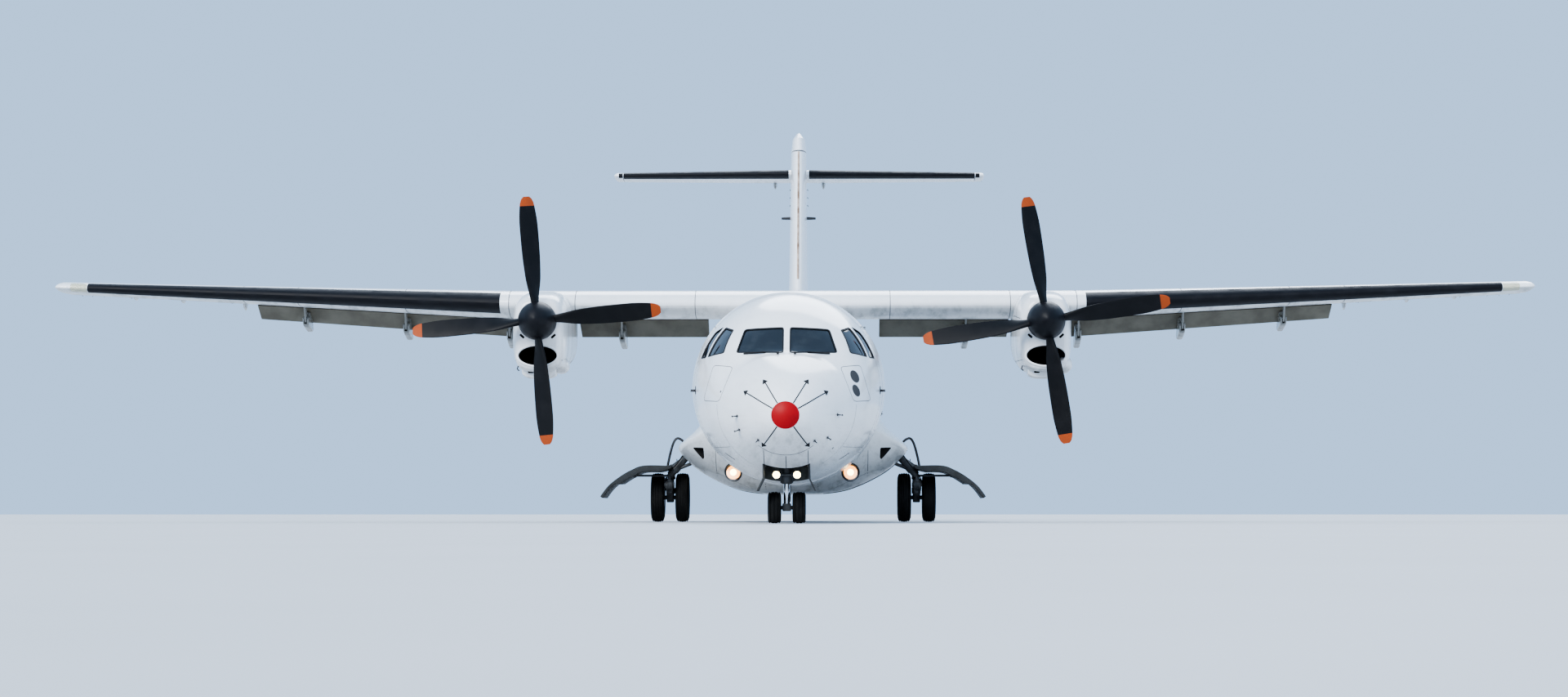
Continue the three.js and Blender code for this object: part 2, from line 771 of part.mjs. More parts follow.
// The side doors open about a line along the body at their lower or upper outer edge.
function airstair() {
  const { from, to, sill, head, depth, hingeX } = AIRSTAIR;
  const sweep = (radius) =>
    rod([hingeX, station(from) - 100, sill], [hingeX, station(to) + 100, sill], radius, 96);
  const opening = box([hingeX - depth, 1600], [station(from), station(to)], [sill, head + 60]);
  const space = opening.intersect(sweep(AIRSTAIR_SWEEP));
  const within = box(
    [0, 1600],
    [station(from) + DOOR_GAP, station(to) - DOOR_GAP],
    [sill + DOOR_GAP, head],
  );
  const panel = shell(from - 200, to + 200, 0, DOOR_THICKNESS)
    .intersect(within)
    .intersect(sweep(AIRSTAIR_SWEEP - 2 * DOOR_GAP));
  const steps = Array.from({ length: STEPS.count }, (_, i) => {
    const z = sill + STEPS.first + i * STEPS.pitch;
    const outer = hullSideAt((from + to) / 2, z) - DOOR_THICKNESS + 30;
    return box(
      [outer - STEPS.depth, outer],
      [station(from) + STEPS.inset, station(to) - STEPS.inset],
      [z, z + STEPS.thickness],
    );
  });
  const hinges = doorHinges(hingeX, sill, AIRSTAIR.hinges, 1);
  return { space, hinges, door: onHinges(join([panel, ...steps]), hinges) };
}

// Half the body's width at a station and a height.
function hullSideAt(s, z) {
  const [, halfWidth, middle, top, bottom] = rowAt(HULL, s);
  const rise = z > middle ? top - middle : middle - bottom;
  return halfWidth * Math.sqrt(1 - ((z - middle) / rise) ** 2);
}

function cargoDoor() {
  const { from, to, sill, head, depth, hingeX } = CARGO;
  const space = box([1300 - depth, 1600], [station(from), station(to)], [sill, head]);
  const within = box(
    [0, 1600],
    [station(from) + DOOR_GAP, station(to) - DOOR_GAP],
    [sill + DOOR_GAP, head - DOOR_GAP],
  );
  const panel = shell(from - 50, to + 50, 0, DOOR_THICKNESS).intersect(within);
  const hinges = doorHinges(hingeX, head, CARGO.hinges, -1);
  return { space, hinges, door: onHinges(panel, hinges) };
}

function serviceDoor() {
  const { from, to, sill, head, thickness } = SERVICE;
  const region = (gap) =>
    box([-1600, 0], [station(from) + gap, station(to) - gap], [sill + gap, head - gap]);
  return {
    space: shell(from - 200, to + 200, -50, thickness + FIT).intersect(region(0)),
    door: shell(from - 200, to + 200, 0, thickness).intersect(region(DOOR_GAP)),
  };
}

// Cockpit

const CABIN_WALL = 80;
const COCKPIT = { from: 1500, to: 3170, floor: 1750 };
const GLASS = { outer: 18, inner: 45 };
const FRONT_PANE = [
  // x, z
  [40, 2405],
  [727, 2420],
  [610, 2780],
  [40, 2800],
];
const SIDE_PANES = [
  {
    name: "window_side_forward",
    outline: [[1900, 2425], [2225, 2780], [2580, 2835], [2440, 2390]],
  },
  {
    name: "window_side_rear",
    outline: [[2530, 2385], [2680, 2850], [2930, 2780], [2930, 2390]],
  },
];
const FRONT_PANE_REACH = [1300, 2400];
const SIDE_PANE_REACH = [300, 2000];

const frontPrism = (gap) =>
  prism(
    "y",
    drawnIn(FRONT_PANE, gap).map(([x, z]) => [z, x]),
    station(FRONT_PANE_REACH[0]),
    station(FRONT_PANE_REACH[1]),
  );

const sidePrism = ({ outline }, gap) =>
  prism(
    "x",
    drawnIn(outline, gap).map(([s, z]) => [station(s), z]),
    SIDE_PANE_REACH[0],
    SIDE_PANE_REACH[1],
  );

function buildCockpit() {
  const { from, to, floor } = COCKPIT;
  const above = (z) => box([-1600, 1600], [station(from) - 50, station(to) + 50], [z, 3600]);
  const cavity = hull(from, to, CABIN_WALL).intersect(above(floor));
  const openings = [frontPrism(0), ...SIDE_PANES.map((pane) => sidePrism(pane, 0))];
  const section = cut(hull(RADOME_END, COCKPIT_END - FIT).add(jackPad(NOSE_JACK)), [
    cavity,
    noseBay,
    ...openings,
    ...openings.map(mirrored),
  ]);
  piece("cockpit_section", section, "white_paint");
  const glass = shell(1300, 3030, GLASS.outer, GLASS.inner);
  pieceOnBothSides("windshield", glass.intersect(frontPrism(FIT)), "glass");
  for (const pane of SIDE_PANES) {
    pieceOnBothSides(pane.name, glass.intersect(sidePrism(pane, FIT)), "glass");
  }
  buildFlightDeck();
}

const DECK = {
  floorThickness: 60,
  panel: { s: [1640, 1780], top: 2300, halfWidth: 700 },
  shield: { s: [1570, 1860], thickness: 40 },
  pedestal: { s: [1780, 2350], halfWidth: 110, top: 2080 },
  seat: { x: 340, s: 2380, width: 460, depth: 440, seatTop: 2150, backTop: 2720, back: 110 },
  bulkhead: 90,
};

// Floor, instrument panel, pedestal, two seats and the bulkhead behind them, as one piece.
function buildFlightDeck() {
  const { panel, shield, pedestal, seat } = DECK;
  const low = COCKPIT.floor + FIT;
  const span = ([from, to]) => [station(from), station(to)];
  const seats = SIDES.flatMap(({ sign }) => {
    const x = [sign * seat.x - seat.width / 2, sign * seat.x + seat.width / 2];
    const pillar = [sign * seat.x - 120, sign * seat.x + 120];
    const back = seat.s + seat.depth;
    return [
      box(pillar, span([seat.s + 80, back - 80]), [low, seat.seatTop - 100]),
      box(x, span([seat.s, back]), [seat.seatTop - 130, seat.seatTop]),
      box(x, span([back - seat.back, back]), [seat.seatTop - 60, seat.backTop]),
    ];
  });
  const whole = join([
    box([-1400, 1400], span([COCKPIT.from, COCKPIT.to]), [low, low + DECK.floorThickness]),
    box([-panel.halfWidth, panel.halfWidth], span(panel.s), [low, panel.top]),
    box([-panel.halfWidth, panel.halfWidth], span(shield.s), [panel.top, panel.top + shield.thickness]),
    box([-pedestal.halfWidth, pedestal.halfWidth], span(pedestal.s), [low, pedestal.top]),
    box([-1400, 1400], span([COCKPIT.to - DECK.bulkhead, COCKPIT.to - FIT]), [low, 3600]),
    ...seats,
  ]);
  const room = hull(COCKPIT.from + FIT, COCKPIT.to - FIT, CABIN_WALL + FIT);
  piece("flight_deck", whole.intersect(room), "cabin_plastic");
}

function buildBellyFairing() {
  const pad = jackPad(BELLY_JACK);
  const skin = loft(BELLY_SWELL.map(([s, swell]) => bellyRing(s, swell)));
  const fairing = cut(join([skin, pad, mirrored(pad)]), [
    hull(BELLY_SWELL[0][0] - 500, CENTRE_END, -FIT),
    wheelBay,
    mirrored(wheelBay),
  ]);
  piece("belly_fairing", fairing, "white_paint");
}

function buildFuselage() {
  piece("nose_cap", hull(0, NOSE_CAP_END - FIT), "red_paint");
  piece("radome", hull(NOSE_CAP_END, RADOME_END - FIT), "white_paint");
  buildCockpit();
  const cargo = cargoDoor();
  const stairs = airstair();
  const service = serviceDoor();
  const centre = cut(hull(COCKPIT_END, CENTRE_END - FIT).add(rootFairing), [
    wingCentreGrown,
    cargo.space,
    wheelBay,
    mirrored(wheelBay),
  ]);
  piece("fuselage_centre", withHinges(centre, cargo.hinges), "white_paint");
  const rear = cut(hull(CENTRE_END, HULL_END), [stairs.space, service.space]);
  piece("fuselage_rear", withHinges(rear, stairs.hinges), "white_paint");
  buildBellyFairing();
  piece("cargo_door", cargo.door, "white_paint");
  piece("airstair_door", stairs.door, "white_paint");
  piece("service_door", service.door, "white_paint");
}

// Nacelles

const NACELLE_X = 4050;
const NACELLE_POINTS = 24;
const NACELLE_EXPONENT = 3.4;
const NACELLE = [
  // y, half width, top, bottom
  [-3560, 335, 3545, 2430],
  [-3400, 400, 3615, 2400],
  [-3000, 438, 3685, 2395],
  [-2400, 446, 3750, 2400],
  [-1500, 435, 3775, 2480],
  [-500, 410, 3720, 2600],
  [400, 355, 3620, 2750],
  [1000, 255, 3500, 2930],
  [1350, 120, 3330, 3080],
];
const COWL = { front: -3560, back: -2100, wall: 50, frontWall: 80, chinFrom: -3300, chinTo: -2200 };
const NACELLE_END = 1350;
const INTAKE = { z: 2655, halfWidth: 318, halfHeight: 166, points: 16 };
const CHIN = {
  halfWidth: 265,
  bottom: 2300,
  top: 2560,
  // The oil cooler's mouth, beside the middle
  mouth: { x: [-175, -85], z: [2375, 2450] },
  straight: 250,
  endSpread: 0.8,
  endLift: 130,
  // Half widths as fractions, and heights
  section: [[-1, 2560], [-1, 2390], [-0.78, 2300], [0.78, 2300], [1, 2390], [1, 2560]],
};
const ENGINE = { halfWidth: 260, z: [2880, 3400], front: -3380 };
const EXHAUST = { x: 4330, z: 2900, from: -900, to: -150, radius: 150, bore: 128, out: 90 };

function nacelleRing(y, inset) {
  const [, halfWidth, top, bottom] = rowAt(NACELLE, y);
  return Array.from({ length: NACELLE_POINTS }, (_, i) => {
    const [across, up] = superellipse((2 * Math.PI * i) / NACELLE_POINTS, NACELLE_EXPONENT);
    return [
      NACELLE_X + (halfWidth - inset) * across,
      y,
      (top + bottom) / 2 + ((top - bottom) / 2 - inset) * up,
    ];
  });
}

const nacelle = (from, to, inset = 0) =>
  loft(placesBetween(NACELLE, from, to).map((y) => nacelleRing(y, inset)));

const PROPELLER = { y: -3780, z: 3205, base: -3575, shaft: 70, shaftEnd: -3440 };
const SHAFT_SIDES = 24;
const SPINNER_SIDES = 16;

function buildNacelles() {
  const ellipse = Array.from({ length: INTAKE.points }, (_, i) => {
    const angle = (2 * Math.PI * i) / INTAKE.points;
    return [INTAKE.z + INTAKE.halfHeight * Math.sin(angle), NACELLE_X + INTAKE.halfWidth * Math.cos(angle)];
  });
  const intake = prism("y", ellipse, COWL.front - 100, COWL.front + 400);
  const shaftHole = boreFor(
    [NACELLE_X, COWL.front - 100, PROPELLER.z],
    [NACELLE_X, COWL.front + 400, PROPELLER.z],
    PROPELLER.shaft,
    SHAFT_SIDES,
  );
  const chin = loft(
    [
      [COWL.chinFrom, 1, 0],
      [COWL.chinFrom + CHIN.straight, 1, 0],
      [COWL.chinTo, CHIN.endSpread, CHIN.endLift],
    ].map(([y, spread, lift]) =>
      CHIN.section.map(([across, z]) => [
        NACELLE_X + across * spread * CHIN.halfWidth,
        y,
        z + (z < CHIN.top ? lift : 0),
      ]),
    ),
  );
  const chinMouth = box(
    CHIN.mouth.x.map((x) => NACELLE_X + x),
    [COWL.chinFrom - 100, COWL.chinFrom + 300],
    CHIN.mouth.z,
  );
  const cowl = cut(nacelle(COWL.front, COWL.back - FIT).add(chin), [
    nacelle(COWL.front + COWL.frontWall, COWL.back + 100, COWL.wall),
    intake,
    shaftHole,
    chinMouth,
  ]);
  pieceOnBothSides("engine_cowl", cowl, "white_paint");
  const engine = box(
    [NACELLE_X - ENGINE.halfWidth, NACELLE_X + ENGINE.halfWidth],
    [ENGINE.front, COWL.back - FIT],
    ENGINE.z,
  );
  pieceOnBothSides("engine_block", engine, "dark_iron");
  const pipe = [EXHAUST.x, EXHAUST.from, EXHAUST.z];
  const pipeEnd = [EXHAUST.x + EXHAUST.out, EXHAUST.to, EXHAUST.z];
  const rear = cut(nacelle(COWL.back, NACELLE_END).add(rod(pipe, pipeEnd, EXHAUST.radius)), [
    rod(
      [lerp(pipe[0], pipeEnd[0], 0.6), lerp(pipe[1], pipeEnd[1], 0.6), EXHAUST.z],
      [pipeEnd[0] + EXHAUST.out, 2 * pipeEnd[1] - pipe[1], EXHAUST.z],
      EXHAUST.bore,
    ),
    wingCentreGrown,
  ]);
  pieceOnBothSides("nacelle_rear", rear, "white_paint");
}

// Propellers

const SPINNER_PROFILE = [
  // radius, distance ahead of the base
  [0, 0],
  [305, 0],
  [305, 120],
  [280, 290],
  [220, 435],
  [120, 565],
  [50, 610],
  [0, 625],
];
const ROOT_GAP = 1; // between a blade's root and the spinner it comes out of
const BLADE = [
  // radius, chord, thickness, angle from the disc's plane
  [-20, 130, 110, 60],
  [270, 155, 100, 56],
  [420, 210, 76, 48],
  [700, 290, 42, 38],
  [1100, 320, 28, 32],
  [1500, 310, 20, 26],
  [1850, 240, 14, 22],
  [1980, 120, 8, 20],
];
const BLADE_COUNT = 4;
const BLADE_SECTION = [
  // along the chord from the leading edge, across it
  [0.5, 0],
  [0.4, 0.36],
  [0.1, 0.5],
  [-0.5, 0.06],
  [-0.5, -0.06],
  [0.1, -0.5],
  [0.4, -0.36],
];
const PROPELLER_REST = { port: 9, starboard: 5 }; // degrees that the top blade leans to starboard

function bladeBody(grow) {
  return loft(
    BLADE.map(([radius, chord, thickness, degrees]) => {
      const [c, s] = [Math.cos(radians(degrees)), Math.sin(radians(degrees))];
      return BLADE_SECTION.map(([along, across]) => {
        const a = along * (chord + 2 * grow);
        const b = across * (thickness + 2 * grow);
        return [-a * c + b * s, -a * s - b * c, radius];
      });
    }),
  );
}

function around(body, count) {
  return Array.from({ length: count }, (_, i) =>
    solid(geometryOf(body).rotateY((2 * Math.PI * i) / count)),
  );
}

function buildPropellers() {
  const blades = join(around(bladeBody(0), BLADE_COUNT));
  const base = PROPELLER.base - PROPELLER.y;
  const profile = SPINNER_PROFILE.map(([radius, ahead]) => new THREE.Vector2(radius, base - ahead));
  const cone = solid(new THREE.LatheGeometry(profile, SPINNER_SIDES));
  const shaft = rod([0, base, 0], [0, PROPELLER.shaftEnd - PROPELLER.y, 0], PROPELLER.shaft, SHAFT_SIDES);
  const spinner = cut(cone, around(bladeBody(ROOT_GAP), BLADE_COUNT)).add(shaft);
  for (const { side, sign } of SIDES) {
    const group = new THREE.Group();
    group.position.set(sign * NACELLE_X, PROPELLER.y, PROPELLER.z);
    group.rotation.y = -radians(PROPELLER_REST[side]);
    airliner.add(group);
    piece(`spinner_${side}`, spinner, "black_composite", group);
    piece(`propeller_blades_${side}`, blades, "black_composite", group);
  }
}

// Tail

const FIN = [
  // height, leading edge and trailing edge stations, half thickness
  [3200, 17994, 21938, 190],
  [7200, 20250, 22420, 150],
  [7480, 20450, 22450, 125],
  [7590, 20700, 22400, 60],
];
const RUDDER = { bottom: 3400, hornFrom: 7220, finTop: 7195, top: 7590, hinges: [4200, 6100] };
const RUDDER_HINGE = { low: [3300, 20780], high: [7200, 21700] };
const DORSAL = [
  // station of the top edge, its height, half thickness
  [15000, 3440, 20],
  [16200, 3560, 60],
  [17300, 3800, 90],
  [18250, 4150, 110],
  [18720, 4450, 110],
];
const STABILISER = {
  z: 6800,
  rootLeading: 20700,
  rootTrailing: 22716.6,
  tipLeading: 21080,
  tipTrailing: 22400,
  tipX: 3655,
  thickness: 0.11,
  hingeRoot: 22000,
  hingeTip: 21951,
  elevatorFrom: 280,
  hornX: 3470,
  hinges: [900, 2700],
};

function finAt(z) {
  const [, leading, trailing, half] = rowAt(FIN, z);
  const [[z0, s0], [z1, s1]] = [RUDDER_HINGE.low, RUDDER_HINGE.high];
  const hinge = lerp(s0, s1, (z - z0) / (z1 - z0));
  const chord = trailing - leading;
  return { leading, chord, thickness: (2 * half) / chord, hinge: (hinge - leading) / chord };
}

const finPoint = (z, u, w) => [w, station(finAt(z).leading + u), z];
const finPlaces = (from, to) => placesBetween(FIN, from, to);

function stabiliserAt(x) {
  const k = Math.abs(x) / STABILISER.tipX;
  const leading = lerp(STABILISER.rootLeading, STABILISER.tipLeading, k);
  const chord = lerp(STABILISER.rootTrailing, STABILISER.tipTrailing, k) - leading;
  const hinge = lerp(STABILISER.hingeRoot, STABILISER.hingeTip, k);
  return { leading, chord, thickness: STABILISER.thickness, hinge: (hinge - leading) / chord };
}

const stabiliserPoint = (x, u, w) => [x, station(stabiliserAt(x).leading + u), STABILISER.z + w];

// The rudder's swing through the middle of the stabiliser
const RUDDER_SWING = [
  // half width, station
  [150, 21380],
  [150, 21600],
  [330, 21950],
  [575, 22800],
];
const rudderSwing = prism(
  "z",
  [
    ...RUDDER_SWING.map(([x, s]) => [x, station(s)]),
    ...RUDDER_SWING.map(([x, s]) => [-x, station(s)]).reverse(),
  ],
  6400,
  7190,
);

function buildTail() {
  const tailplane = (places, grow = 0) =>
    spanLoft(places, (x) => aerofoil({ ...stabiliserAt(x), grow, steps: 8 }), stabiliserPoint);
  const { tipX, hornX } = STABILISER;
  const half = spanLoft([0, hornX], (x) => aerofoil({ ...stabiliserAt(x), steps: 8 }), stabiliserPoint);
  const bay = spanLoft([-1, hornX + 1], (x) => bayOutline(stabiliserAt(Math.max(x, 0))), (x, u, w) =>
    stabiliserPoint(x, u, w),
  );
  const hinges = STABILISER.hinges.map((x) => surfaceHinge(x, stabiliserAt, stabiliserPoint));
  const stabiliserHalf = join([cut(half, [bay]), ...hinges.map(({ bracket }) => bracket)]);
  const stabiliser = cut(stabiliserHalf.add(mirrored(stabiliserHalf)), [rudderSwing]);
  piece("stabiliser", stabiliser, "white_paint");

  const elevatorPanel = spanLoft(
    [STABILISER.elevatorFrom, hornX + CLEAR + 1],
    (x) => movingOutline(stabiliserAt(x)),
    stabiliserPoint,
  );
  const horn = loft([
    ...[hornX + CLEAR, tipX - 60].map((x) =>
      aerofoil({ ...stabiliserAt(x), steps: 8 }).map(([u, w]) => stabiliserPoint(x, u, w)),
    ),
    aerofoil({ ...stabiliserAt(tipX), steps: 8 }).map(([u, w]) =>
      stabiliserPoint(tipX, lerp(stabiliserAt(tipX).chord / 2, u, 0.9), w * 0.4),
    ),
  ]);
  const elevator = cut(elevatorPanel.add(horn), [rudderSwing, ...hinges.map(({ space }) => space)]);
  pieceOnBothSides("elevator", elevator, "white_paint");

  const finFull = spanLoft(finPlaces(3200, RUDDER.finTop), (z) => aerofoil({ ...finAt(z) }), finPoint);
  const finBay = spanLoft([3150, 7300], (z) => bayOutline(finAt(z)), finPoint);
  const dorsal = loft(
    DORSAL.map(([s, top, halfWidth]) => [
      [-halfWidth - 40, station(s), 3200],
      [halfWidth + 40, station(s), 3200],
      [halfWidth, station(s), lerp(3200, top, 0.8)],
      [halfWidth * 0.5, station(s), top],
      [-halfWidth * 0.5, station(s), top],
      [-halfWidth, station(s), lerp(3200, top, 0.8)],
    ]),
  );
  const tailplaneSlot = tailplane([-400, 0, 400], FIT);
  const finHinges = RUDDER.hinges.map((z) => surfaceHinge(z, finAt, finPoint));
  const fin = cut(finFull.add(dorsal), [finBay, hull(CENTRE_END, HULL_END, -FIT), tailplaneSlot]);
  piece("fin", join([fin, ...finHinges.map(({ bracket }) => bracket)]), "white_paint");

  const blade = spanLoft([RUDDER.bottom, RUDDER.hornFrom + 1], (z) => movingOutline(finAt(z)), finPoint);
  const cap = spanLoft(finPlaces(RUDDER.hornFrom, RUDDER.top), (z) => aerofoil({ ...finAt(z) }), finPoint);
  piece("rudder", cut(blade.add(cap), finHinges.map(({ space }) => space)), "white_paint");
}

// Landing gear

const MAIN_WHEEL = { x: 2050, apart: 410, y: -850, radius: 406.5, width: 223, rim: 205, hubWidth: 180 };
const NOSE_WHEEL = { x: 0, apart: 350, y: -9630, radius: 225, width: 190, rim: 110, hubWidth: 150 };
const TYRE_SIDES = 20;
const AXLE = { main: 35, nose: 28 };
const AXLE_SIDES = 12;

// A tyre about the X axis with a flat of its tread at the bottom.
function tyre(x, { y, radius, width, rim }) {
  const outer = overFlats(radius, TYRE_SIDES);
  const half = width / 2;
  const profile = [
    [rim, -half * 0.7],
    [lerp(rim, outer, 0.45), -half],
    [lerp(rim, outer, 0.85), -half * 0.85],
    [outer, -half * 0.4],
    [outer, half * 0.4],
    [lerp(rim, outer, 0.85), half * 0.85],
    [lerp(rim, outer, 0.45), half],
    [rim, half * 0.7],
    [rim, -half * 0.7],
  ].map(([r, along]) => new THREE.Vector2(r, along));
  const geometry = new THREE.LatheGeometry(profile, TYRE_SIDES, Math.PI / TYRE_SIDES);
  return solid(geometry.rotateZ(-Math.PI / 2).translate(x, y, radius));
}

// A wheel's hub, dished on both faces.
function hub(x, { y, radius, rim, hubWidth }) {
  const outer = rim - overFlats(FIT, TYRE_SIDES);
  const profile = [
    [0, -hubWidth * 0.35],
    [outer * 0.82, -hubWidth * 0.2],
    [outer * 0.9, -hubWidth / 2],
    [outer, -hubWidth / 2],
    [outer, hubWidth / 2],
    [outer * 0.9, hubWidth / 2],
    [outer * 0.82, hubWidth * 0.2],
    [0, hubWidth * 0.35],
  ].map(([r, along]) => new THREE.Vector2(r, along));
  const geometry = new THREE.LatheGeometry(profile, TYRE_SIDES, Math.PI / TYRE_SIDES);
  return solid(geometry.rotateZ(-Math.PI / 2).translate(x, y, radius));
}

function wheelPair(wheel, axle) {
  const places = [wheel.x - wheel.apart / 2, wheel.x + wheel.apart / 2];
  const bar = rod([places[0], wheel.y, wheel.radius], [places[1], wheel.y, wheel.radius], axle, AXLE_SIDES);
  return {
    hubs: join([...places.map((x) => hub(x, wheel)), bar]),
    tyres: places.map((x) => tyre(x, wheel)),
  };
}

const axleBore = (wheel, axle) =>
  boreFor(
    [wheel.x - wheel.apart, wheel.y, wheel.radius],
    [wheel.x + wheel.apart, wheel.y, wheel.radius],
    axle,
    AXLE_SIDES,
  );

const LEG = {
  trunnion: { x: 1740, z: 1100, radius: 55, y: [-1500, -200] },
  top: [1760, -1230, 1085],
  foot: [2040, -1230, 772],
  radius: 62,
  pivot: [-1230, 620],
  tongue: 30, // half width of the plate that the trailing arm's fork holds
  tongueRadius: 78,
  tongueTop: 790,
  shockTop: [2025, -770, 930],
  shockFoot: [2050, -660, 520],
  shockRadius: 58,
  pistonRadius: 34,
  beamRadius: 50,
  stay: [[1900, -1240, 880], [1150, -1240, 1260]],
  stayRadius: 28,
};
const ARM_HALF = 60;
const ARM_OUTLINE = [
  // y, z
  [-1315, 630],
  [-1250, 710],
  [-1170, 700],
  [-900, 520],
  [-720, 580],
  [-630, 570],
  [-600, 510],
  [-660, 450],
  [-790, 350],
  [-850, 325],
  [-920, 350],
  [-1200, 520],
  [-1300, 560],
];
const SHOCK_OVERLAP = { cylinder: 0.5, piston: 0.75 };

// The beam from the trunnion that holds the shock absorber's top
const shockBeam = [
  [LEG.trunnion.x, LEG.shockTop[1], LEG.trunnion.z],
  between(LEG.shockTop, LEG.shockFoot, 0.08),
];

function buildMainGear() {
  const { trunnion, shockTop, shockFoot } = LEG;
  const bayRoof = box([0, 3000], [-2000, 0], [0, WHEEL_BAY.z[1] - FIT]);
  const shockEnd = between(shockTop, shockFoot, SHOCK_OVERLAP.cylinder);
  const pistonBore = boreFor(
    between(shockTop, shockFoot, 0.15),
    between(shockTop, shockFoot, SHOCK_OVERLAP.cylinder + 0.1),
    LEG.pistonRadius,
  );
  const leg = cut(
    join([
      rod([trunnion.x, trunnion.y[0], trunnion.z], [trunnion.x, trunnion.y[1], trunnion.z], trunnion.radius),
      rod(LEG.top, LEG.foot, LEG.radius),
      rod(
        [MAIN_WHEEL.x - LEG.tongue, ...LEG.pivot],
        [MAIN_WHEEL.x + LEG.tongue, ...LEG.pivot],
        LEG.tongueRadius,
      ),
      box(
        [MAIN_WHEEL.x - LEG.tongue, MAIN_WHEEL.x + LEG.tongue],
        [LEG.pivot[0] - 60, LEG.pivot[0] + 60],
        [LEG.pivot[1], LEG.tongueTop],
      ),
      rod(shockTop, shockEnd, LEG.shockRadius),
      rod(...shockBeam, LEG.beamRadius),
      rod(...LEG.stay, LEG.stayRadius, 12),
    ]),
    [pistonBore],
  ).intersect(bayRoof);
  pieceOnBothSides("main_leg", leg, "gear_paint");

  const plate = prism("x", ARM_OUTLINE, MAIN_WHEEL.x - ARM_HALF, MAIN_WHEEL.x + ARM_HALF);
  const fork = box(
    [MAIN_WHEEL.x - LEG.tongue - FIT, MAIN_WHEEL.x + LEG.tongue + FIT],
    [LEG.pivot[0] - 150, LEG.pivot[0] + LEG.tongueRadius + CLEAR],
    [450, 760],
  );
  const arm = cut(
    join([plate, rod(between(shockTop, shockFoot, 1 - SHOCK_OVERLAP.piston), shockFoot, LEG.pistonRadius)]),
    [fork, axleBore(MAIN_WHEEL, AXLE.main)],
  );
  pieceOnBothSides("main_trailing_arm", arm, "gear_paint");

  const { hubs, tyres } = wheelPair(MAIN_WHEEL, AXLE.main);
  pieceOnBothSides("main_hubs", hubs, "gear_paint");
  pieceOnBothSides("main_tyre_inner", tyres[0], "rubber");
  pieceOnBothSides("main_tyre_outer", tyres[1], "rubber");
  buildGearDoor();
}

const GEAR_DOOR = {
  y: [-1550, -250],
  thickness: 45,
  outline: [[2000, 925], [2450, 930], [2680, 850], [2880, 730], [3050, 590], [3180, 420]],
  strut: [[MAIN_WHEEL.x + LEG.tongue + FIT, -1230, 765], [2800, -1230, 765]],
  strutRadius: 18,
  rodRadius: 20,
  rod: [[1800, -700, 1345], [1900, -700, 1385], [2020, -700, 1375], [2090, -700, 1260], [2112, -700, 900]],
};

// The panel that hangs over the wheels, with the stays that hold it.
function buildGearDoor() {
  const { y, thickness, outline, strut, rod: stay } = GEAR_DOOR;
  const inner = outline.map(([x, z], i) => {
    const [beforeX, beforeZ] = outline[Math.max(i - 1, 0)];
    const [afterX, afterZ] = outline[Math.min(i + 1, outline.length - 1)];
    const length = Math.hypot(afterX - beforeX, afterZ - beforeZ);
    return [x + (thickness * (afterZ - beforeZ)) / length, z - (thickness * (afterX - beforeX)) / length];
  });
  const ring = [...outline, ...inner.reverse()].map(([x, z]) => [z, x]);
  const { shockTop, shockFoot, shockRadius } = LEG;
  const door = cut(
    join([
      prism("y", ring, y[0], y[1]),
      rod(...strut, GEAR_DOOR.strutRadius, 12),
      bentTube(stay, GEAR_DOOR.rodRadius),
    ]),
    [
      rod(
        between(shockTop, shockFoot, -0.1),
        between(shockTop, shockFoot, 1),
        overFlats(shockRadius + FIT, 10),
      ),
      rod(LEG.top, LEG.foot, overFlats(LEG.radius + FIT, 10)),
      rod(shockBeam[0], between(...shockBeam, 1.1), overFlats(LEG.beamRadius + CLEAR, 10)),
      loft(BELLY_SWELL.map(([s, swell]) => grownBellyRing(s, swell))),
    ],
  );
  pieceOnBothSides("main_gear_door", door, "white_paint");
}

// The belly section moved out a little, to trim what rests on it.
function grownBellyRing(s, swell) {
  const grow = FIT + 0.05;
  return bellyRing(s, swell).map(([x, y, z]) => {
    const length = Math.hypot(x, z - 1500) || 1;
    return [x + (2 * grow * x) / length, y, z + (2 * grow * (z - 1500)) / length];
  });
}

const NOSE_LEG = {
  radius: 75,
  sides: 16,
  bottom: 560,
  piston: 45,
  pistonTop: 900,
  light: { x: 155, z: 690, radius: 55, y: [-9775, -9695] },
  brace: [[0, -9560, 700], [0, -9020, 1260]],
  braceRadius: 30,
};
const NOSE_DOOR = {
  y: [station(1150), station(1850)],
  outline: [[310, 900], [334.7, 900], [334.7, 640], [420, 460], [395, 460], [309.7, 640]],
};

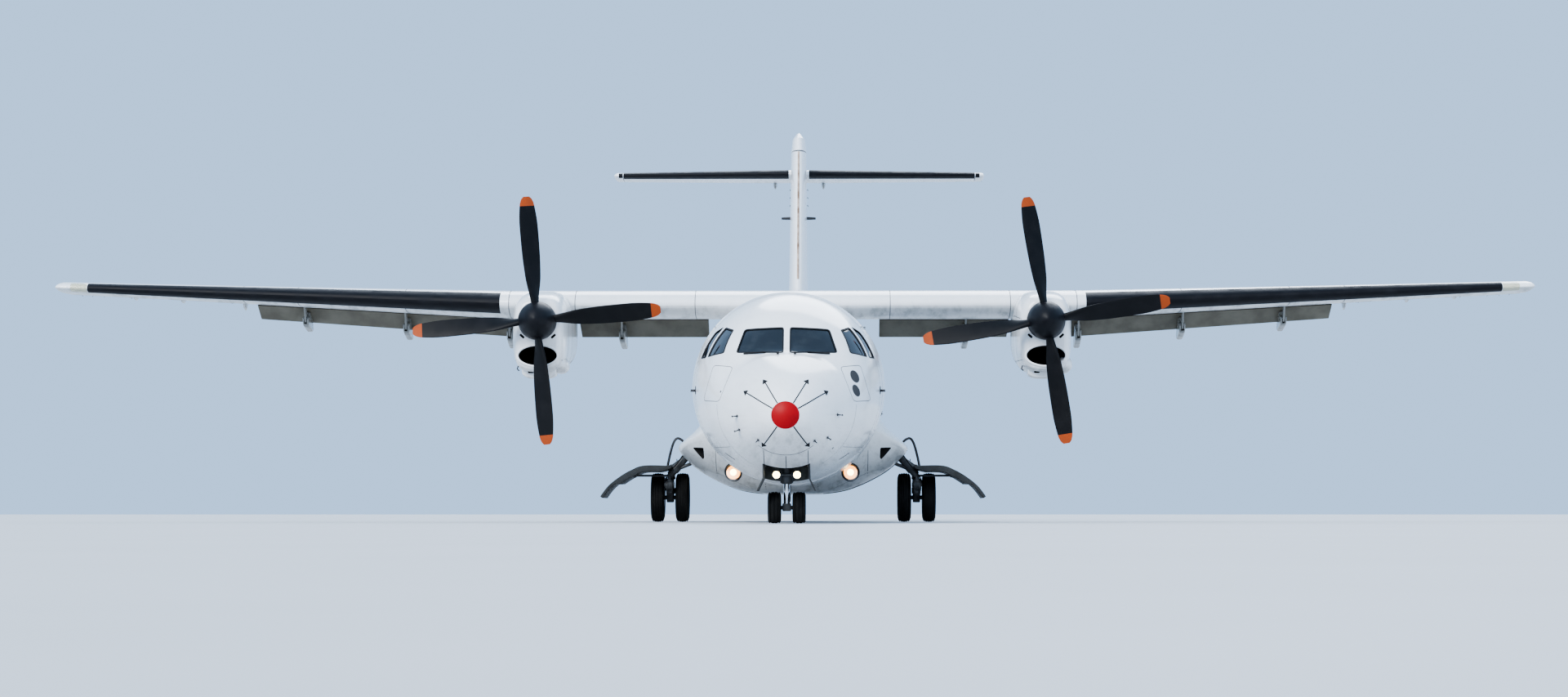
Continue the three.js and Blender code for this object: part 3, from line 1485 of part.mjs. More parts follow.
function buildNoseGear() {
  const roof = NOSE_BAY.z[1] - FIT;
  const { y } = NOSE_WHEEL;
  const { light } = NOSE_LEG;
  const lights = SIDES.map(({ sign }) =>
    rod([sign * light.x, light.y[0], light.z], [sign * light.x, light.y[1], light.z], light.radius),
  );
  const strut = cut(
    join([
      rod([0, y, NOSE_LEG.bottom], [0, y, roof], NOSE_LEG.radius, NOSE_LEG.sides),
      rod(...NOSE_LEG.brace, NOSE_LEG.braceRadius, 12),
      box([-light.x, light.x], [-9730, -9695], [light.z - 15, light.z + 15]),
      ...lights,
    ]),
    [boreFor([0, y, 400], [0, y, NOSE_LEG.pistonTop + DOOR_GAP], NOSE_LEG.piston, NOSE_LEG.sides)],
  ).intersect(box([-400, 400], [-10500, -8000], [0, roof]));
  piece("nose_leg", strut, "gear_paint");
  const piston = cut(
    join([
      rod([0, y, NOSE_WHEEL.radius], [0, y, NOSE_LEG.pistonTop], NOSE_LEG.piston, NOSE_LEG.sides),
      box([-62, 62], [y - 55, y + 55], [NOSE_WHEEL.radius - 50, NOSE_WHEEL.radius + 60]),
    ]),
    [axleBore(NOSE_WHEEL, AXLE.nose)],
  );
  piece("nose_piston", piston, "chrome");
  const { hubs, tyres } = wheelPair(NOSE_WHEEL, AXLE.nose);
  piece("nose_hubs", hubs, "gear_paint");
  piece("nose_tyre_starboard", tyres[0], "rubber");
  piece("nose_tyre_port", tyres[1], "rubber");
  const panel = prism("y", NOSE_DOOR.outline.map(([x, z]) => [z, x]), ...NOSE_DOOR.y);
  pieceOnBothSides("nose_gear_door", panel, "white_paint");
}

buildFuselage();
buildWing();
buildNacelles();
buildPropellers();
buildTail();
buildMainGear();
buildNoseGear();

export default airliner;
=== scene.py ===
"""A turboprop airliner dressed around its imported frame. Metres, +X to port, -Y ahead, +Z up."""

import json
from math import asin, atan2, ceil, copysign, cos, degrees as in_degrees, pi, radians, sin, sqrt

import bpy
import numpy as np
from mathutils import Matrix, Vector

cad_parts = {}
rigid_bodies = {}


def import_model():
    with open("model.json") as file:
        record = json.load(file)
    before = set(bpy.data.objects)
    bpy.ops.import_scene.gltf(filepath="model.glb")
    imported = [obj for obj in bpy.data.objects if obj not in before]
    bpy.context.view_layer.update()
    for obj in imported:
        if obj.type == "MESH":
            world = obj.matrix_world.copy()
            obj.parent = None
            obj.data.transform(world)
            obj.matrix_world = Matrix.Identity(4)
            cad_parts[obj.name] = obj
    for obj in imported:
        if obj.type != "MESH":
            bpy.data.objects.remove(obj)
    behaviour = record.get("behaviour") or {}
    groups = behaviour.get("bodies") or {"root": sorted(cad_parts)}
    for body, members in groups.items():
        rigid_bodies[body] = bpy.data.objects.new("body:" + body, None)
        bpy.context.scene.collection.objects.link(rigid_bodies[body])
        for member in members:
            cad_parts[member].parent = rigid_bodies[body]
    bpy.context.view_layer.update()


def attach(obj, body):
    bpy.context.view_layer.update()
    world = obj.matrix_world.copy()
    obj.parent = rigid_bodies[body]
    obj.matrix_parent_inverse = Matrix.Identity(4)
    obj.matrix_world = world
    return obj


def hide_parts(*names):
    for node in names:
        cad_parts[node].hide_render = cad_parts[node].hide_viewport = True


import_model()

HALF_LENGTH = 11.335
FIT = 0.0003  # between solids that sit together
CLEAR = 0.010  # between a control surface and the wing's edge
DOOR_GAP = 0.005
SEAM_RISE = 0.0008  # how far a seam's line stands proud of the skin

# Modelling


def full_turn(count):
    """Angles evenly spread over a full turn."""
    return [2 * pi * i / count for i in range(count)]


def quarter_turn(steps):
    """Angles from 0 to a quarter turn."""
    return [pi / 2 * i / steps for i in range(steps + 1)]


def activate(obj):
    """Selects one piece alone."""
    bpy.ops.object.select_all(action="DESELECT")
    obj.select_set(True)
    bpy.context.view_layer.objects.active = obj


def edited(obj, *steps):
    """Runs edit-mode operators on the whole of a piece."""
    activate(obj)
    bpy.ops.object.mode_set(mode="EDIT")
    for step in steps:
        bpy.ops.mesh.select_all(action="SELECT")
        step()
    bpy.ops.object.mode_set(mode="OBJECT")
    return obj


def apply(obj, kind, **settings):
    """Adds a modifier and applies it."""
    activate(obj)
    bpy.ops.object.modifier_add(type=kind)
    modifier = obj.modifiers[-1]
    for name, value in settings.items():
        setattr(modifier, name, value)
    bpy.ops.object.modifier_apply(modifier=modifier.name)
    return obj


def settled(name):
    """Names the new piece and puts its place in its mesh."""
    obj = bpy.context.object
    obj.name = obj.data.name = name
    bpy.ops.object.transform_apply(location=True, rotation=True, scale=True)
    return obj


def skin(name, rings, closed=True):
    """A skin over rings of points: a grid laid on them, its seam merged and its ends filled."""
    loops = [list(ring) + [ring[0]] if closed else list(ring) for ring in rings]
    bpy.ops.object.select_all(action="DESELECT")
    bpy.ops.mesh.primitive_grid_add(x_subdivisions=len(loops[0]) - 1, y_subdivisions=len(loops) - 1)
    obj = settled(name)
    obj.data.vertices.foreach_set("co", np.array(loops, np.float32).ravel())
    return edited(
        obj,
        lambda: bpy.ops.mesh.remove_doubles(threshold=2e-5),
        lambda: bpy.ops.mesh.fill_holes(sides=0),
        lambda: bpy.ops.mesh.normals_make_consistent(inside=False),
    )


def rod(name, start, end, radius, sides=32, end_radius=None):
    """A round bar or cone between two points."""
    start, end = Vector(start), Vector(end)
    span = end - start
    bpy.ops.object.select_all(action="DESELECT")
    bpy.ops.mesh.primitive_cone_add(
        vertices=sides,
        radius1=radius,
        radius2=radius if end_radius is None else end_radius,
        depth=span.length,
        location=(start + end) / 2,
        rotation=span.to_track_quat("Z", "Y").to_euler(),
    )
    return settled(name)


def block(name, x, y, z, bevel=0.0, segments=2):
    """A box between pairs of limits, its edges rounded."""
    limits = np.array([x, y, z], float)
    bpy.ops.object.select_all(action="DESELECT")
    bpy.ops.mesh.primitive_cube_add(size=1, location=limits.mean(1), scale=np.ptp(limits, axis=1))
    obj = settled(name)
    return apply(obj, "BEVEL", width=bevel, segments=segments) if bevel else obj


def prism(name, axis, outline, start, end):
    """An outline of (y, z), (x, z) or (x, y) points drawn out along x, y or z."""
    order = {"x": (2, 0, 1), "y": (0, 2, 1), "z": (0, 1, 2)}[axis]
    bpy.ops.object.select_all(action="DESELECT")
    bpy.ops.mesh.primitive_circle_add(vertices=len(outline), fill_type="NGON")
    obj = settled(name)
    flat = [(a, b, start) for a, b in outline]
    obj.data.vertices.foreach_set("co", np.array(flat, np.float32)[:, order].ravel())
    move = Vector([(0, 0, end - start)[i] for i in order])
    return edited(
        obj,
        lambda: bpy.ops.mesh.extrude_region_move(TRANSFORM_OT_translate={"value": move}),
        lambda: bpy.ops.mesh.normals_make_consistent(inside=False),
    )


def ball(name, centre, radii, segments=32):
    """An ellipsoid."""
    bpy.ops.object.select_all(action="DESELECT")
    bpy.ops.mesh.primitive_uv_sphere_add(
        segments=segments, ring_count=segments // 2, radius=1, location=centre, scale=radii
    )
    return settled(name)


def ring(name, centre, major, minor, axis=(1, 0, 0), segments=48, sides=12):
    """A torus about an axis."""
    bpy.ops.object.select_all(action="DESELECT")
    bpy.ops.mesh.primitive_torus_add(
        location=centre,
        rotation=Vector(axis).to_track_quat("Z", "Y").to_euler(),
        major_segments=segments,
        minor_segments=sides,
        major_radius=major,
        minor_radius=minor,
    )
    return settled(name)


def spline(points, steps=6, closed=False):
    """A smooth curve through points, in space or in a plane."""
    points = [Vector(p) for p in points]
    count = len(points)
    found = []
    for i in range(count if closed else count - 1):
        if closed:
            p = [points[(i + k) % count] for k in (-1, 0, 1, 2)]
        else:
            p = [points[min(max(i + k, 0), count - 1)] for k in (-1, 0, 1, 2)]
        for step in range(steps):
            t = step / steps
            found.append(
                0.5
                * (
                    2 * p[1]
                    + (p[2] - p[0]) * t
                    + (2 * p[0] - 5 * p[1] + 4 * p[2] - p[3]) * t**2
                    + (3 * p[1] - p[0] - 3 * p[2] + p[3]) * t**3
                )
            )
    return found if closed else found + [points[-1]]


def tube(name, points, radius, sides=12):
    """A round tube along points."""
    points = [Vector(p) for p in points]
    normal = (points[1] - points[0]).orthogonal().normalized()
    rings = []
    for i, point in enumerate(points):
        ahead = (points[min(i + 1, len(points) - 1)] - points[max(i - 1, 0)]).normalized()
        normal = (normal - ahead * normal.dot(ahead)).normalized()
        across = ahead.cross(normal)
        turns = full_turn(sides)
        rings.append([point + radius * (normal * cos(a) + across * sin(a)) for a in turns])
    return skin(name, rings)


def copy_of(obj, name):
    twin = obj.copy()
    twin.data = obj.data.copy()
    twin.name = twin.data.name = name
    bpy.context.scene.collection.objects.link(twin)
    return twin


def moved(obj, matrix):
    """Carries a piece's mesh by a matrix, its faces kept outwards."""
    obj.data.transform(matrix)
    if matrix.determinant() < 0:
        obj.data.flip_normals()
    obj.data.update()
    return obj


def mirrored(obj, name):
    return moved(copy_of(obj, name), Matrix.Scale(-1, 4, (1, 0, 0)))


def boolean(obj, operation, tools):
    for tool in tools:
        apply(obj, "BOOLEAN", operation=operation, object=tool, solver="MANIFOLD", material_mode="TRANSFER")
        bpy.data.objects.remove(tool)
    return obj


def cut(obj, *tools):
    return boolean(obj, "DIFFERENCE", tools)


def fused(obj, *others):
    return boolean(obj, "UNION", others)


def common(obj, *others):
    return boolean(obj, "INTERSECT", others)


def joined(name, *objs):
    """Several solids as one piece."""
    activate(objs[0])
    for obj in objs:
        obj.select_set(True)
    bpy.ops.object.join()
    objs[0].name = objs[0].data.name = name
    return objs[0]


def smoothed(obj, degrees=32):
    """Smooth shading between the edges sharper than an angle."""
    activate(obj)
    bpy.ops.object.shade_smooth_by_angle(angle=radians(degrees))
    return obj


def rounded(outline, radius, steps=5):
    """An outline with its corners rounded."""
    found = []
    for i, corner in enumerate(outline):
        corner = Vector(corner)
        before, after = Vector(outline[i - 1]), Vector(outline[(i + 1) % len(outline)])
        start = corner + (before - corner).normalized() * radius
        end = corner + (after - corner).normalized() * radius
        for step in range(steps + 1):
            t = step / steps
            found.append(tuple(start * (1 - t) ** 2 + corner * 2 * t * (1 - t) + end * t**2))
    return found


def grown(outline, distance):
    """An outline moved outwards by a distance."""
    corners = [Vector(p) for p in outline]
    area = sum(a.x * b.y - b.x * a.y for a, b in zip(corners, corners[1:] + corners[:1]))
    found = []
    for i, corner in enumerate(corners):
        into = (corner - corners[i - 1]).normalized()
        out = (corners[(i + 1) % len(corners)] - corner).normalized()
        normals = [Vector((d.y, -d.x)) * copysign(1, area) for d in (into, out)]
        bisector = (normals[0] + normals[1]).normalized()
        found.append(tuple(corner + bisector * distance / max(bisector.dot(normals[0]), 0.3)))
    return found


def smooth(rows, warp=lambda at: at):
    """A function that reads a table at any place, on curves through its rows without overshoot."""
    table = np.array(rows, float)
    at, values = np.array([warp(a) for a in table[:, 0]]), table[:, 1:]
    step = np.diff(at)[:, None]
    rise = np.diff(values, axis=0) / step
    product = rise[:-1] * rise[1:]
    total = rise[:-1] + rise[1:]
    slope = np.vstack(
        [rise[:1], np.where(product > 0, 2 * product / np.where(total == 0, 1, total), 0), rise[-1:]]
    )

    def read(place):
        place = min(max(warp(place), at[0]), at[-1])
        i = min(max(int(np.searchsorted(at, place)) - 1, 0), len(at) - 2)
        t = (place - at[i]) / step[i, 0]
        return (
            values[i] * (1 + 2 * t) * (1 - t) ** 2
            + values[i + 1] * t**2 * (3 - 2 * t)
            + slope[i] * step[i, 0] * t * (1 - t) ** 2
            + slope[i + 1] * step[i, 0] * t**2 * (t - 1)
        )

    return read


def spaced(start, end, step):
    return np.linspace(start, end, max(2, ceil(abs(end - start) / step) + 1))


def spot(obj, start, toward):
    """Where a straight line first meets a piece, and the piece's normal there."""
    hit, place, normal, _ = obj.ray_cast(Vector(start), Vector(toward).normalized())
    if not hit:
        raise ValueError(f"nothing of {obj.name} lies ahead of {tuple(start)}")
    return place, normal


def traced(obj, corners, toward, step=0.05, closed=False):
    """A route laid on a piece: places and normals under the lines between corners."""
    corners = [Vector(c) for c in corners]
    if closed:
        corners.append(corners[0])
    route = []
    for a, b in zip(corners, corners[1:]):
        count = max(1, round((b - a).length / step))
        route += [a.lerp(b, i / count) for i in range(count)]
    return [spot(obj, p, toward) for p in route + [corners[-1]]]


def strip(name, route, width, height=0.0015, sink=0.003):
    """A flat strip along a route on a surface."""
    rings = []
    for i, (place, normal) in enumerate(route):
        ahead = (route[min(i + 1, len(route) - 1)][0] - route[max(i - 1, 0)][0]).normalized()
        side = normal.cross(ahead).normalized() * width / 2
        rings.append(
            [
                place - side - normal * sink, place + side - normal * sink,
                place + side + normal * height, place - side + normal * height
            ]
        )
    return skin(name, rings)


def boss(name, place, normal, radius, height, sink=0.005, sides=24, end_radius=None):
    """A round boss that stands on a surface."""
    return rod(name, place - normal * sink, place + normal * height, radius, sides, end_radius)


def wick(at, reach):
    """A static wick."""
    return rod("wick", at, at + Vector(reach), 0.004, 8, 0.002)


# Materials


class Value:
    """A socket of a finish. Arithmetic on it adds Math nodes."""

    def __init__(self, finish, socket):
        self.finish = finish
        self.socket = socket

    def math(self, operation, *values):
        return self.finish.node("ShaderNodeMath", {"operation": operation}, dict(enumerate(values)))

    def __add__(self, other):
        return self.math("ADD", self, other)

    def __sub__(self, other):
        return self.math("SUBTRACT", self, other)

    def __mul__(self, other):
        return self.math("MULTIPLY", self, other)

    def __rsub__(self, other):
        return self.math("SUBTRACT", other, self)

    def __abs__(self):
        return self.math("ABSOLUTE", self)

    __radd__ = __add__
    __rmul__ = __mul__

    def between(self, low, high):
        """0 below low and 1 above high, smoothly."""
        return self.finish.node(
            "ShaderNodeMapRange",
            {"interpolation_type": "SMOOTHSTEP"},
            {"Value": self, "From Min": low, "From Max": high, "To Min": 0.0, "To Max": 1.0},
        )


class Finish:
    """A material and what feeds its shader."""

    def __init__(self, name, colour, roughness, **more):
        self.material = bpy.data.materials.new(name)
        self.material.use_nodes = True
        self.tree = self.material.node_tree
        self.shader = self.tree.nodes["Principled BSDF"]
        self.colour, self.roughness = colour, roughness
        self.feed("Base Color", colour)
        self.feed("Roughness", roughness)
        for name, value in more.items():
            self.feed(name.replace("_", " "), value)
        self.position = self.node("ShaderNodeTexCoord", {}, {}, "Object")
        self.x, self.y, self.z = (
            self.node("ShaderNodeSeparateXYZ", {}, {0: self.position}, i) for i in range(3)
        )

    def node(self, kind, settings, inputs, output=0):
        """Adds a node; its settings come first, then its sockets' values or links."""
        node = self.tree.nodes.new(kind)
        for name, value in settings.items():
            setattr(node, name, value)
        for key, value in inputs.items():
            self.link(node.inputs[key], value)
        return Value(self, node.outputs[output])

    def link(self, socket, value):
        if isinstance(value, Value):
            self.tree.links.new(value.socket, socket)
        elif isinstance(value, (tuple, list)) and len(value) == 3 and socket.type == "RGBA":
            socket.default_value = (*value, 1)
        else:
            socket.default_value = value

    def feed(self, name, value):
        self.link(self.shader.inputs[name.title() if name.islower() else name], value)

    def noise(self, scale, detail=4.0, stretch=(1, 1, 1), roughness=0.55):
        place = self.node("ShaderNodeMapping", {}, {"Vector": self.position, "Scale": stretch})
        return self.node(
            "ShaderNodeTexNoise",
            {},
            {"Vector": place, "Scale": scale, "Detail": detail, "Roughness": roughness}
        )

    def mixed(self, factor, first, second):
        return self.node("ShaderNodeMix", {"data_type": "RGBA"}, {0: factor, 6: first, 7: second}, 2)

    def facing_down(self):
        """How far a face looks down, from 0 to 1."""
        normal = self.node("ShaderNodeNewGeometry", {}, {}, "True Normal")
        return (0 - self.node("ShaderNodeSeparateXYZ", {}, {0: normal}, 2)).between(0.1, 0.95)

    def bumped(self, height, strength, distance):
        self.feed(
            "Normal",
            self.node("ShaderNodeBump", {}, {"Strength": strength, "Distance": distance, "Height": height})
        )


def paint(name, colour, grime, streak=(9, 0.7, 9), underside_grime_and_shade=0.55, soot=0.0):
    """Gloss paint with airflow streaks, and a darkening towards the bottom that is partly grime and partly
    painted shade.
    """
    finish = Finish(name, colour, 0.22, **{"Coat Weight": 0.35, "Coat Roughness": 0.08})
    patches = finish.noise(0.9, 5).between(0.35, 0.75)
    streaks = finish.noise(1.0, 6, streak, 0.65).between(0.42, 0.78)
    fine = finish.noise(38.0, 3)
    below = finish.facing_down()
    dirt_and_shade = streaks * (0.08 + 0.6 * underside_grime_and_shade * below) + patches * (0.04 + 0.10 * below)
    # The smooth darkening of every face that looks down is painted shade; the streaks and patches above are
    # grime.
    dirt_and_shade = dirt_and_shade + 0.42 * underside_grime_and_shade * below + soot * streaks
    finish.feed("Base Color", finish.mixed(dirt_and_shade, colour, grime))
    finish.feed("Roughness", 0.17 + 0.3 * dirt_and_shade + 0.07 * fine)
    finish.bumped(finish.noise(3.2, 2) + 0.02 * fine, 0.05, 0.01)
    return finish.material


def metal(name, colour, grime, roughness, streak=(3, 3, 3), metallic=1.0, wear=0.5):
    finish = Finish(name, colour, roughness, Metallic=metallic)
    cloud = finish.noise(2.4, 6, streak).between(0.3, 0.75)
    fine = finish.noise(60.0, 3)
    finish.feed("Base Color", finish.mixed(cloud * wear, colour, grime))
    finish.feed("Roughness", roughness - 0.08 + 0.2 * cloud + 0.06 * fine)
    finish.bumped(fine, 0.08, 0.002)
    return finish.material


def rubber(name, colour, dust, roughness=0.62, amount=0.5):
    finish = Finish(name, colour, roughness, **{"Specular IOR Level": 0.22})
    cloud = finish.noise(4.0, 6).between(0.4, 0.8)
    grain = finish.noise(180.0, 2)
    finish.feed("Base Color", finish.mixed(cloud * amount, colour, dust))
    finish.feed("Roughness", roughness + 0.18 * cloud)
    finish.bumped(grain, 0.12, 0.002)
    return finish.material


def tinted_glass(name, colour, transmission, roughness=0.03):
    finish = Finish(name, colour, roughness, **{"Transmission Weight": transmission, "IOR": 1.45})
    film = finish.noise(5.0, 5).between(0.45, 0.85)
    finish.feed("Roughness", roughness + 0.10 * film)
    finish.feed("Base Color", finish.mixed(0.15 * film, colour, (0.5, 0.52, 0.52)))
    return finish.material


def lamp_glow(name, colour, strength):
    finish = Finish(name, (0.9, 0.9, 0.85), 0.2, **{"Emission Strength": strength})
    ripple = finish.noise(60.0, 2).between(0.3, 0.7)
    finish.feed("Emission Color", finish.mixed(ripple, colour, tuple(min(1, c * 1.25) for c in colour)))
    return finish.material


# Each paint darkens towards its second colour: grime, and painted shade on the faces that look down.
WHITE = (0.88, 0.885, 0.89)
GRIME_AND_SHADE = (0.23, 0.225, 0.205)
body_paint = paint("body_paint", WHITE, GRIME_AND_SHADE)
wing_paint = paint("wing_paint", (0.84, 0.85, 0.86), (0.20, 0.21, 0.20), (6, 1.2, 6), 0.75)
cowl_paint = paint("cowl_paint", (0.87, 0.87, 0.87), (0.22, 0.20, 0.17), (10, 1.0, 10), 0.6)
nacelle_paint = paint("nacelle_paint", (0.84, 0.85, 0.85), (0.13, 0.115, 0.095), (8, 0.8, 8), 0.7, soot=0.25)
tail_paint = paint("tail_paint", (0.87, 0.88, 0.90), (0.30, 0.29, 0.27), (7, 1.0, 7), 0.4)
belly_paint = paint("belly_paint", (0.80, 0.81, 0.81), (0.20, 0.19, 0.165), (8, 0.9, 8), 0.8)
cap_paint = rubber("cap_paint", (0.33, 0.006, 0.008), (0.16, 0.008, 0.008), 0.48, 0.6)
flap_metal = metal(
    "flap_metal", (0.155, 0.135, 0.095), (0.095, 0.083, 0.060), 0.62, (1.2, 0.5, 1.2), 0.12, 0.7
)
dull_alloy = metal("dull_alloy", (0.62, 0.62, 0.61), (0.36, 0.35, 0.33), 0.32)
pod_paint = paint("pod_paint", (0.30, 0.30, 0.285), (0.06, 0.057, 0.048), (5, 5, 1.2), 0.9)
# Near-black: painted shade on landing gear whose paint is light grey.
gear_paint = metal("gear_paint", (0.085, 0.088, 0.09), (0.03, 0.028, 0.026), 0.45, (3, 3, 3), 0.25, 0.9)
# Near-black: painted shade on gear doors whose paint is paler.
gear_door_paint = rubber("gear_door_paint", (0.050, 0.052, 0.052), (0.025, 0.024, 0.022), 0.5, 0.7)
hub_paint = metal("hub_paint", (0.26, 0.265, 0.265), (0.05, 0.047, 0.043), 0.45, (3, 3, 3), 0.25, 0.9)
edge_alloy = metal("edge_alloy", (0.50, 0.40, 0.33), (0.16, 0.09, 0.05), 0.42, (3, 3, 2), 0.3, 0.95)
dark_steel = metal("dark_steel", (0.10, 0.10, 0.105), (0.035, 0.03, 0.028), 0.5, (3, 3, 3), 0.8, 0.8)
chrome = metal("chrome", (0.86, 0.87, 0.88), (0.5, 0.5, 0.5), 0.14, (3, 3, 3), 1.0, 0.3)
hot_steel = metal("hot_steel", (0.30, 0.24, 0.19), (0.09, 0.075, 0.07), 0.42, (2, 6, 2), 1.0, 0.9)
boot_rubber = rubber("boot_rubber", (0.004, 0.004, 0.006), (0.016, 0.017, 0.021), 0.50, 0.6)
tyre_rubber = rubber("tyre_rubber", (0.006, 0.006, 0.006), (0.028, 0.027, 0.025), 0.76, 0.6)
seam_dark = rubber("seam_dark", (0.055, 0.055, 0.058), (0.10, 0.10, 0.10), 0.7, 0.4)
seal_black = rubber("seal_black", (0.012, 0.012, 0.013), (0.04, 0.04, 0.04), 0.6, 0.4)
blade_black = rubber("blade_black", (0.004, 0.004, 0.005), (0.016, 0.016, 0.018), 0.46, 0.4)
spinner_black = rubber("spinner_black", (0.006, 0.006, 0.008), (0.020, 0.020, 0.023), 0.44, 0.4)
blade_tip = rubber("blade_tip", (0.34, 0.062, 0.014), (0.18, 0.050, 0.022), 0.5, 0.6)
cabin_plastic = rubber("cabin_plastic", (0.07, 0.075, 0.08), (0.14, 0.14, 0.14), 0.65, 0.5)
duct_dark = rubber("duct_dark", (0.012, 0.011, 0.010), (0.03, 0.028, 0.025), 0.7, 0.5)
bay_primer = metal("bay_primer", (0.11, 0.115, 0.10), (0.03, 0.028, 0.025), 0.6, (3, 3, 3), 0.0, 0.9)
cockpit_glass = tinted_glass("cockpit_glass", (0.045, 0.060, 0.080), 0.75)
# Dark and nearly opaque: partly the glass's tint, partly painted shade of the cabin behind the panes.
cabin_glass = tinted_glass("cabin_glass", (0.025, 0.03, 0.036), 0.15, 0.06)
tip_lens = tinted_glass("tip_lens", (0.80, 0.78, 0.60), 0.45, 0.12)
red_lens = tinted_glass("red_lens", (0.62, 0.03, 0.02), 0.5)
green_lens = tinted_glass("green_lens", (0.03, 0.42, 0.18), 0.5)
landing_glow = lamp_glow("landing_glow", (1.0, 0.34, 0.05), 2.6)
taxi_glow = lamp_glow("taxi_glow", (1.0, 0.74, 0.36), 7.0)
floor_finish = Finish("floor", (0.52, 0.54, 0.56), 0.7)
floor_finish.feed(
    "Base Color", floor_finish.mixed(floor_finish.noise(0.35, 5), (0.50, 0.52, 0.54), (0.55, 0.57, 0.59))
)
floor_paint = floor_finish.material


def place(obj, finish, body, *nodes, degrees=32):
    """Finishes a piece, sets its body, and hides the CAD nodes that it stands for."""
    smoothed(obj, degrees)
    if not any(obj.data.materials):
        obj.data.materials.clear()
        obj.data.materials.append(finish)
    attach(obj, body)
    if nodes:
        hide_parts(*nodes)
    return obj


def other_side(name):
    return name.replace("port", "starboard")


def place_pair(obj, finish, body, *nodes, degrees=32, twin=None):
    """Places a port piece, and its mirror image or its twin on the other side."""
    other = twin or mirrored(obj, other_side(obj.name))
    place(obj, finish, body, *nodes, degrees=degrees)
    place(other, finish, other_side(body), *[other_side(n) for n in nodes], degrees=degrees)
    return obj, other


# Body

HULL = smooth(
    [
        # station behind the nose tip, half width, height of the widest place, top, bottom
        (0.00, 0.000, 1.500, 1.500, 1.500),
        (0.06, 0.190, 1.495, 1.680, 1.310),
        (0.20, 0.345, 1.500, 1.845, 1.165),
        (0.45, 0.520, 1.520, 2.035, 1.010),
        (0.85, 0.735, 1.570, 2.235, 0.860),
        (1.25, 0.915, 1.640, 2.385, 0.750),
        (1.43, 0.985, 1.680, 2.440, 0.715),
        (1.95, 1.150, 1.790, 2.870, 0.650),
        (2.30, 1.235, 1.850, 3.080, 0.620),
        (2.80, 1.325, 1.920, 3.260, 0.592),
        (3.40, 1.395, 1.970, 3.375, 0.574),
        (4.10, 1.4325, 2.000, 3.4325, 0.5675),
        (14.2, 1.4325, 2.000, 3.4325, 0.5675),
        (15.2, 1.425, 2.020, 3.432, 0.610),
        (16.2, 1.370, 2.090, 3.430, 0.760),
        (17.2, 1.255, 2.200, 3.425, 0.990),
        (18.4, 1.040, 2.360, 3.415, 1.320),
        (19.6, 0.760, 2.560, 3.390, 1.720),
        (20.6, 0.490, 2.740, 3.340, 2.110),
        (21.3, 0.270, 2.850, 3.250, 2.440),
        (21.75, 0.090, 2.890, 3.040, 2.740),
    ],
    warp=lambda s: sqrt(max(s, 0)),
)
NOSE_CAP_END, RADOME_END, COCKPIT_END, CENTRE_END, HULL_END = 0.064, 0.58, 3.25, 14.2, 21.75
HULL_SIDES = 96


def station(s):
    return s - HALF_LENGTH


def hull_point(s, angle, inset=0.0):
    half, middle, top, bottom = HULL(s)
    rise = top - middle if sin(angle) > 0 else middle - bottom
    across, up = max(half - inset, 0), max(rise - inset, 0)
    return Vector((across * cos(angle), station(s), middle + up * sin(angle)))


def hull_spot(s, degrees):
    """A place on the body and the skin's normal there."""
    angle = radians(degrees)
    along = hull_point(s + 0.01, angle) - hull_point(max(s - 0.01, 0), angle)
    across = hull_point(s, angle + 0.01) - hull_point(s, angle - 0.01)
    return hull_point(s, angle), along.cross(across).normalized()


def hull_side(s, z, sign=1):
    """The spot on the body's side at a height."""
    _, middle, top, bottom = HULL(s)
    rise = top - middle if z > middle else middle - bottom
    degrees = in_degrees(asin(max(-1, min(1, (z - middle) / rise))))
    return hull_spot(s, degrees if sign > 0 else 180 - degrees)


def hull_skin(name, start, end, inset=0.0, step=0.06, sides=HULL_SIDES):
    if start == 0:
        stations = [end * (i / 12) ** 2 for i in range(13)]
    else:
        stations = spaced(start, end, step)
    turns = full_turn(sides)
    return skin(name, [[hull_point(s, a, inset) for a in turns] for s in stations])


def hull_shell(name, start, end, outer, inner, step=0.06):
    return cut(
        hull_skin(name, start, end, outer, step), hull_skin("void", start - 0.05, end + 0.05, inner, step)
    )


def faced(obj, finish):
    """Gives a piece its finish before it is cut, so that the cut's faces can have another."""
    obj.data.materials.append(finish)
    return obj


def hull_lines(name, finish, routes, width, height=SEAM_RISE):
    """Thin lines on the body along (station, degrees) routes."""
    strips = []
    for k, route in enumerate(routes):
        spots = []
        for (s0, a0), (s1, a1) in zip(route, route[1:]):
            count = max(1, round(max(abs(s1 - s0) / 0.12, abs(a1 - a0) / 4)))
            spots += [hull_spot(s0 + (s1 - s0) * i / count, a0 + (a1 - a0) * i / count) for i in range(count)]
        strips.append(strip(f"{name}_{k}", spots + [hull_spot(*route[-1])], width, height))
    return place(joined(name, *strips), finish, "airframe")


def arc(s, start, end):
    return [(s, start), (s, end)]


place(hull_skin("nose_cap_skin", 0, NOSE_CAP_END - FIT), cap_paint, "airframe", "nose_cap")
place(hull_skin("radome_skin", NOSE_CAP_END, RADOME_END - FIT, step=0.04), body_paint, "airframe", "radome")

FRONT_PANE = [(0.040, 2.405), (0.727, 2.420), (0.610, 2.780), (0.040, 2.800)]
SIDE_PANES = {
    "window_side_forward": [(1.90, 2.425), (2.225, 2.78), (2.58, 2.835), (2.44, 2.39)],
    "window_side_rear": [(2.53, 2.385), (2.68, 2.85), (2.93, 2.78), (2.93, 2.39)],
}


def pane_prism(node, grow, corner=0.045):
    """A port cockpit window's outline drawn through the body."""
    if node == "windshield":
        return prism(node, "y", rounded(grown(FRONT_PANE, grow), corner), station(1.3), station(2.4))
    outline = [(station(s), z) for s, z in SIDE_PANES[node]]
    return prism(node, "x", rounded(grown(outline, grow), corner), 0.3, 2.0)


